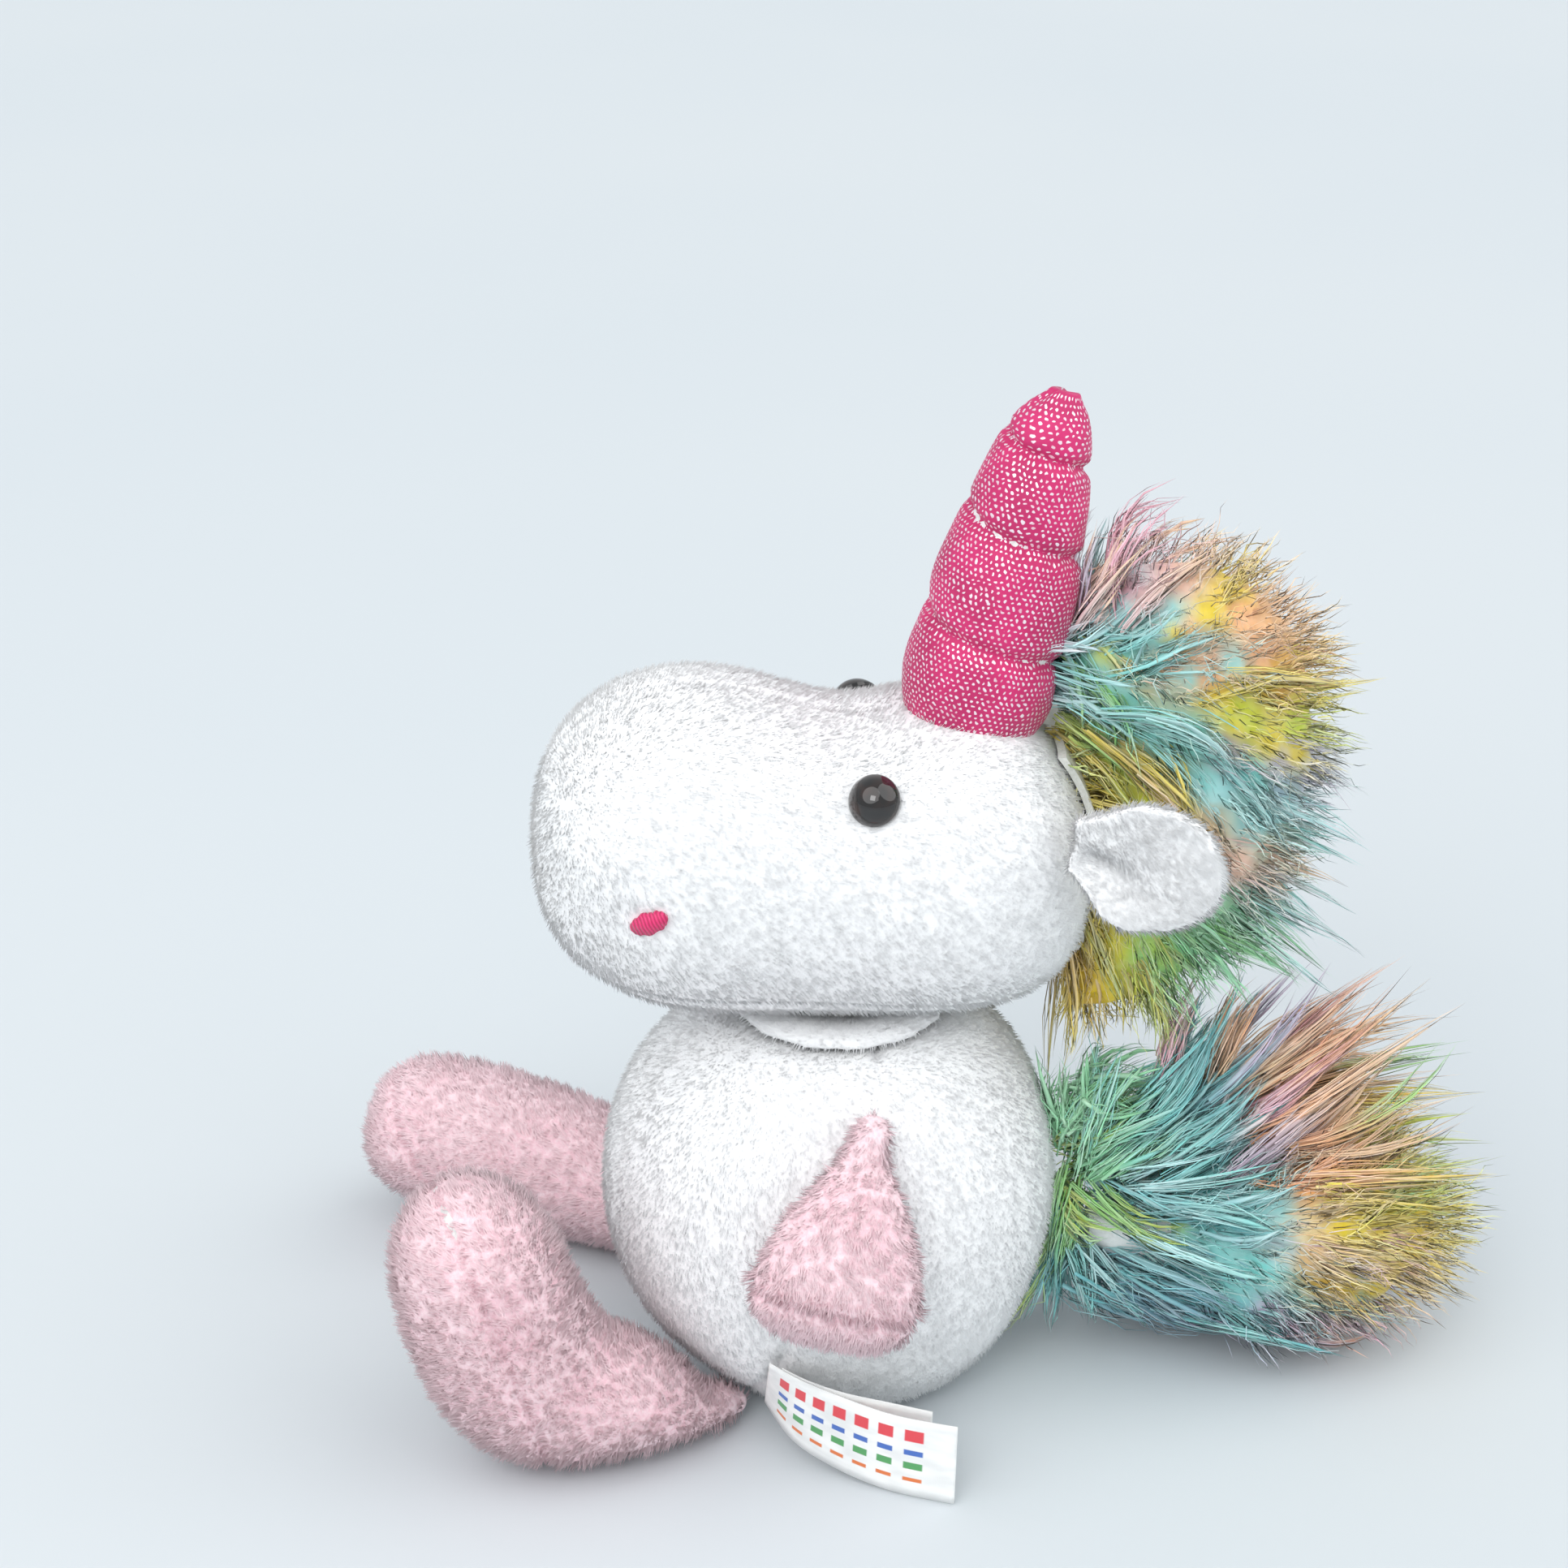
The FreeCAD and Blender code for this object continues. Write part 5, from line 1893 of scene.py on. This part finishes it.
class Unicorn:
    """The whole plush animal."""

    torso_seams: tuple[Seam, ...] = (
        Seam((38.0, 3.5, 74.0), (0.0, 0.947, -0.324), low=(6.0, -40.0, 2.0), high=(60.0, 20.0, 90.0)),
        Seam((-38.0, 3.5, 74.0), (0.0, 0.947, -0.324), low=(-60.0, -40.0, 2.0), high=(-6.0, 20.0, 90.0)),
        Seam((0.0, 40.0, 40.0), (1.0, 0.0, 0.0), low=(-8.0, 4.0, 2.0), high=(8.0, 60.0, 76.0)),
    )
    head_seams: tuple[Seam, ...] = (
        Seam((0.0, 0.0, 92.5), (0.0, 0.06, 1.0), low=(-60.0, -52.0, 80.0), high=(60.0, 30.0, 105.0), depth=0.9),
        Seam((0.0, 0.0, 130.0), (1.0, 0.0, 0.0), low=(-8.0, -70.0, 100.0), high=(8.0, 12.0, 170.0), depth=0.5),
    )
    eye_places: tuple[Point, ...] = ((23.0, 2.5, 136.0), (-23.0, 2.5, 136.0))
    ear_root: Point = (27.0, 40.8, 128.3)
    ear_tip: Point = (41.5, 66.5, 125.6)
    ear_length: float = 29.6
    ear_half_width: float = 12.0

    def skins(self) -> list[Skin]:
        """List every stuffed skin of the animal."""
        bald_head = tuple(Bald((place[0], place[1] + 0.5, place[2]), 4.4) for place in self.eye_places) + (
            Bald((0.0, 25.4, 149.0), 12.5), Bald((0.0, 0.0, 84.0), 9.0),
        )
        torso = Skin(
            "torso_skin", "torso", ("torso_cover", "torso_stuffing"), ("torso_cover",), "white_plush", WHITE,
            white_pile(24000, (0.0, 0.25, -1.0)), self.torso_seams, (Bald((0.0, 0.0, 81.0), 9.0),), layers=2, seed=1,
            bend=self.raised,
        )
        head = Skin(
            "head_skin", "head", ("head_cover", "head_stuffing"), ("head_cover",), "white_plush", WHITE,
            white_pile(24000, (0.0, 1.0, -0.35)), self.head_seams, bald_head, layers=2, seed=2,
        )
        return [torso, head, *self.arms(), *self.legs(), *self.ears()]

    def arms(self) -> list[Skin]:
        """Both arms, each with the ruffled seam above its hoof."""
        made = []
        for side, word in ((1.0, "left"), (-1.0, "right")):
            lean, swing = math.radians(12.0), math.radians(15.0)
            down = (side * math.sin(lean), -math.sin(swing), -math.cos(swing))
            seam_at = tuple(origin + 31.0 * way for origin, way in zip((side * 38.0, 3.5, 74.0), down))
            hoof = Seam(seam_at, down, width=1.0, depth=0.9)
            made.append(Skin(
                f"arm_{word}_skin", f"arm_{word}",
                (f"arm_{word}_cover", f"arm_{word}_hoof", f"arm_{word}_stuffing"),
                (f"arm_{word}_cover", f"arm_{word}_hoof"), "pink_plush", PINK,
                pink_pile(8000, down, 2.3), (hoof,), fringe=Fringe(hoof, -3.4, 0.6, 1.5), voxel=1.5, swell=0.6,
                lumps=tuple(
                    Bald(tuple(origin + far * way for origin, way in zip((side * 38.4, 3.5, 74.0), down)), radius)
                    for far, radius in ((0.0, 4.2), (3.0, 4.9), (6.0, 5.4))
                ),
                seed=10 + int(side),
            ))
        return made

    def legs(self) -> list[Skin]:
        """Both legs, each with its sole sewn on."""
        left = Seam((36.0, -69.0, 30.0), (0.25, -0.90, -0.28), width=1.0, depth=0.9)
        right = Seam((-54.0, -84.0, 21.0), (-0.25, -0.80, -0.52), width=1.0, depth=0.9)
        made = []
        for seam, word, comb, side in (
            (left, "left", (0.1, -0.5, 0.75), 1.0), (right, "right", (-0.4, -1.0, 0.2), -1.0),
        ):
            made.append(Skin(
                f"leg_{word}_skin", f"leg_{word}",
                (f"leg_{word}_cover", f"leg_{word}_sole", f"leg_{word}_stuffing"),
                (f"leg_{word}_cover", f"leg_{word}_sole"), "pink_plush", PINK,
                pink_pile(19500, comb), (seam,), voxel=2.0, swell=0.6, seed=20 if word == "left" else 21,
                lumps=(Bald((side * 25.6, -22.6, 4.8), 3.6), Bald((side * 27.0, -25.4, 5.6), 4.9)),
            ))
        return made

    def ears(self) -> list[Skin]:
        """Both ears, cupped outwards and pleated at the root."""
        made = []
        for side, word in ((1.0, "left"), (-1.0, "right")):
            made.append(Skin(
                f"ear_{word}_skin", f"ear_{word}", (f"ear_{word}_back", f"ear_{word}_front"),
                (f"ear_{word}_back", f"ear_{word}_front"), "white_plush", WHITE,
                white_pile(6500, (side * 0.5, 0.9, -0.2), 1.9), voxel=1.0, swell=0.9, inset=0.1, fill=0.3,
                smoothing=2, seed=30 + int(side), bend=lambda points, side=side: self.cupped(points, side),
            ))
        return made

    def raised(self, points: np.ndarray) -> np.ndarray:
        """Lift the cloth of the shoulders a little round the neck.

        Args:
            points: The torso's points in metres.

        Returns:
            The lifted points.
        """
        across = np.linalg.norm(points[:, :2], axis=1) / MM
        high = soft_step((points[:, 2] / MM - 66.0) / 8.0)
        lifted = points.copy()
        lifted[:, 2] += 2.0 * MM * high * np.exp(-(((across - 25.0) / 8.0) ** 2))
        return lifted

    def cupped(self, points: np.ndarray, side: float) -> np.ndarray:
        """Cup an ear, pleat its root and curl its lower edge.

        Args:
            points: The flat ear's points in metres.
            side: 1 for the left ear, -1 for the right.

        Returns:
            The points of the cupped ear.
        """
        mirror = np.array((side, 1.0, 1.0))
        root, tip = np.array(self.ear_root), np.array(self.ear_tip)
        forward = unit(tip - root)
        outward = unit(np.cross(forward, np.array((0.0, 0.0, 1.0))))
        upward = np.cross(outward, forward)
        local = points / MM * mirror - root
        far, high, out = local @ forward / self.ear_length, local @ upward, local @ outward
        wide = np.abs(high) / self.ear_half_width
        cup = 2.6 * wide ** 2 * soft_step(1.25 - far)
        pleat = 1.9 * np.exp(-((high + 2.0) / 2.6) ** 2) * soft_step((0.62 - far) / 0.5) * soft_step(far / 0.16)
        curl = 2.8 * soft_step((-high - 5.0) / 6.0) * soft_step((0.75 - far) / 0.5)
        out = out + cup - pleat + curl - 0.4
        high = high * (1 - 0.16 * soft_step((0.45 - far) / 0.45))
        far = far * self.ear_length
        bent = root + np.outer(far, forward) + np.outer(high, upward) + np.outer(out, outward)
        return bent * mirror * MM

    def build(self, frame: dict) -> None:
        """Build every sub-assembly in order.

        Args:
            frame: The loaded frame.
        """
        skins = {skin.name: skin for skin in self.skins()}
        for skin in skins.values():
            skin.build(frame)
        head = skins["head_skin"]
        Collar().build()
        Horn().build(head)
        thread = SatinThread().material()
        for side in (1.0, -1.0):
            Nostril(side).build(head, thread)
        rainbow = FibreFinish("rainbow_fibre", 0.6, 0.1).material()
        mane = Mop(
            "mane", "head", "rainbow_pile", "mane_pile", "mane_strip", MANE_LOCKS, MANE_ROWS, False, 4300, 40,
            inner=3.5, forward=9.0,
        )
        mane.build(frame, rainbow)
        tail = Mop(
            "tail", "tail", "rainbow_pile", "tail_pile", "tail_core_cover", TAIL_LOCKS, TAIL_ROWS, True, 4500, 60,
            inner=10.0, coat_tufts=2100, coat_reach=(9.0, 18.0),
        )
        tail.build(frame, rainbow)
        self.label()
        self.inner_parts(frame)

    def label(self) -> None:
        """Both leaves of the care label."""
        front = SatinTape("satin_tape_front", (
            (0.70, 0.86, dyed(226, 70, 80)), (0.52, 0.60, dyed(70, 110, 190)), (0.34, 0.44, dyed(84, 160, 96)),
            (0.18, 0.24, dyed(226, 120, 60)),
        ), 9.0)
        back = SatinTape("satin_tape_back", ((0.50, 0.56, dyed(90, 92, 98)), (0.34, 0.40, dyed(90, 92, 98))), 14.0)
        Leaf(
            "label_front_satin", "label_front_leaf",
            ((32.0, -16.6, 9.0), (39.4, -11.4, 5.0), (45.0, -3.0, 2.0), (50.4, 7.0, 0.6), (55.0, 19.0, 0.4)),
            ((43.0, -16.2, 26.0), (45.0, -10.6, 23.4), (47.0, -2.4, 20.4), (50.6, 7.6, 18.4), (54.2, 19.4, 17.8)),
            (0.0185, 0.043), front,
        ).build()
        Leaf(
            "label_back_satin", "label_back_leaf",
            ((33.0, -14.2, 9.6), (38.0, -9.4, 7.0), (41.2, -2.4, 4.4), (44.6, 6.4, 2.4), (47.6, 15.0, 1.4)),
            ((43.4, -13.8, 25.0), (44.6, -9.0, 22.8), (45.6, -2.0, 20.4), (46.2, 6.8, 18.2), (48.0, 15.2, 17.0)),
            (0.017, 0.036), back,
        ).build()

    def inner_parts(self, frame: dict) -> None:
        """Dress the CAD parts that show or lie inside.

        Args:
            frame: The loaded frame.
        """
        fluff, washer, gloss = FluffFill().material(), MouldedPlastic().material(), EyeGloss().material()
        white, pink = WHITE.material(), PINK.material()
        strip = KnitBacking("mane_strip_knit", dyed(240, 241, 238), dyed(226, 228, 224)).material()
        for name, node in frame["nodes"].items():
            if "stuffing" in name:
                redress(node, fluff)
            elif "washer" in name:
                redress(node, washer)
            elif name.startswith("eye_"):
                redress(node, gloss)
            elif name.startswith("mane_strip"):
                redress(node, strip)
            elif name.startswith(("shoulder", "hip")):
                redress(node, pink)
            elif name == "tail_tab":
                redress(node, strip)
            elif name.startswith(("neck", "tail")):
                redress(node, white)


# ---- studio ------------------------------------------------------------------------------------------------------


@dataclass
class Studio:
    """Pale floor, soft lights and the camera; lengths in metres."""

    eye: Point = (0.513, -0.038, 0.358)
    back: Point = (0.9123, -0.0478, 0.4067)
    lens: float = 67.08
    floor: float = 6.0
    sky: Colour = dyed(232, 238, 242)
    sky_strength: float = 0.75

    def build(self) -> None:
        """Set up the floor, the lights, the sky and the camera."""
        form = bmesh.new()
        bmesh.ops.create_grid(form, x_segments=2, y_segments=2, size=self.floor)
        paper = piece_from(form, "floor_paper")
        dress(paper, StudioPaper().material())
        self.light("window_softbox", (0.75, -0.30, 0.75), 0.35, 1.5)
        self.daylight("front_daylight", (0.7, -0.55, 1.0), 1.42)
        self.daylight("back_daylight", (0.25, 0.9, 1.0), 1.15)
        world = bpy.data.worlds.new("studio_air")
        world.use_nodes = True
        air = world.node_tree.nodes["Background"]
        air.inputs["Color"].default_value = self.sky
        air.inputs["Strength"].default_value = self.sky_strength
        bpy.context.scene.world = world
        bpy.context.scene.view_settings.view_transform = "Standard"
        self.camera()

    def light(self, name: str, place: Point, size: float, power: float) -> None:
        """Hang one softbox that faces the animal.

        Args:
            name: The light's name.
            place: Where it hangs.
            size: Length of its sides.
            power: Its power in watts.
        """
        lamp = bpy.data.lights.new(name, "AREA")
        lamp.size = size
        lamp.energy = power
        holder = bpy.data.objects.new(name, lamp)
        holder.location = place
        holder.rotation_euler = (Vector((0, 0.02, 0.08)) - Vector(place)).to_track_quat("-Z", "Y").to_euler()
        bpy.context.scene.collection.objects.link(holder)

    def daylight(self, name: str, way: Point, power: float) -> None:
        """Let wide, even light fall from one side.

        Args:
            name: The light's name.
            way: Where the light comes from.
            power: Its strength.
        """
        lamp = bpy.data.lights.new(name, "SUN")
        lamp.energy = power
        lamp.angle = math.radians(70)
        holder = bpy.data.objects.new(name, lamp)
        holder.rotation_euler = (-Vector(way)).to_track_quat("-Z", "Y").to_euler()
        bpy.context.scene.collection.objects.link(holder)

    def camera(self) -> None:
        """Stand the camera beside the animal, a little above it."""
        lens = bpy.data.cameras.new("side_camera")
        lens.lens = self.lens
        lens.sensor_width = 36.0
        lens.clip_start = 0.02
        lens.clip_end = 50.0
        holder = bpy.data.objects.new("side_camera", lens)
        holder.location = self.eye
        holder.rotation_euler = (-Vector(self.back)).to_track_quat("-Z", "Y").to_euler()
        bpy.context.scene.collection.objects.link(holder)
        bpy.context.scene.camera = holder


def main() -> None:
    """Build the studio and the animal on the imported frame."""
    logging.basicConfig(level=logging.INFO, format="%(name)s %(message)s")
    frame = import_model()
    Studio().build()
    Unicorn().build(frame)


if __name__ == "__main__":
    main()
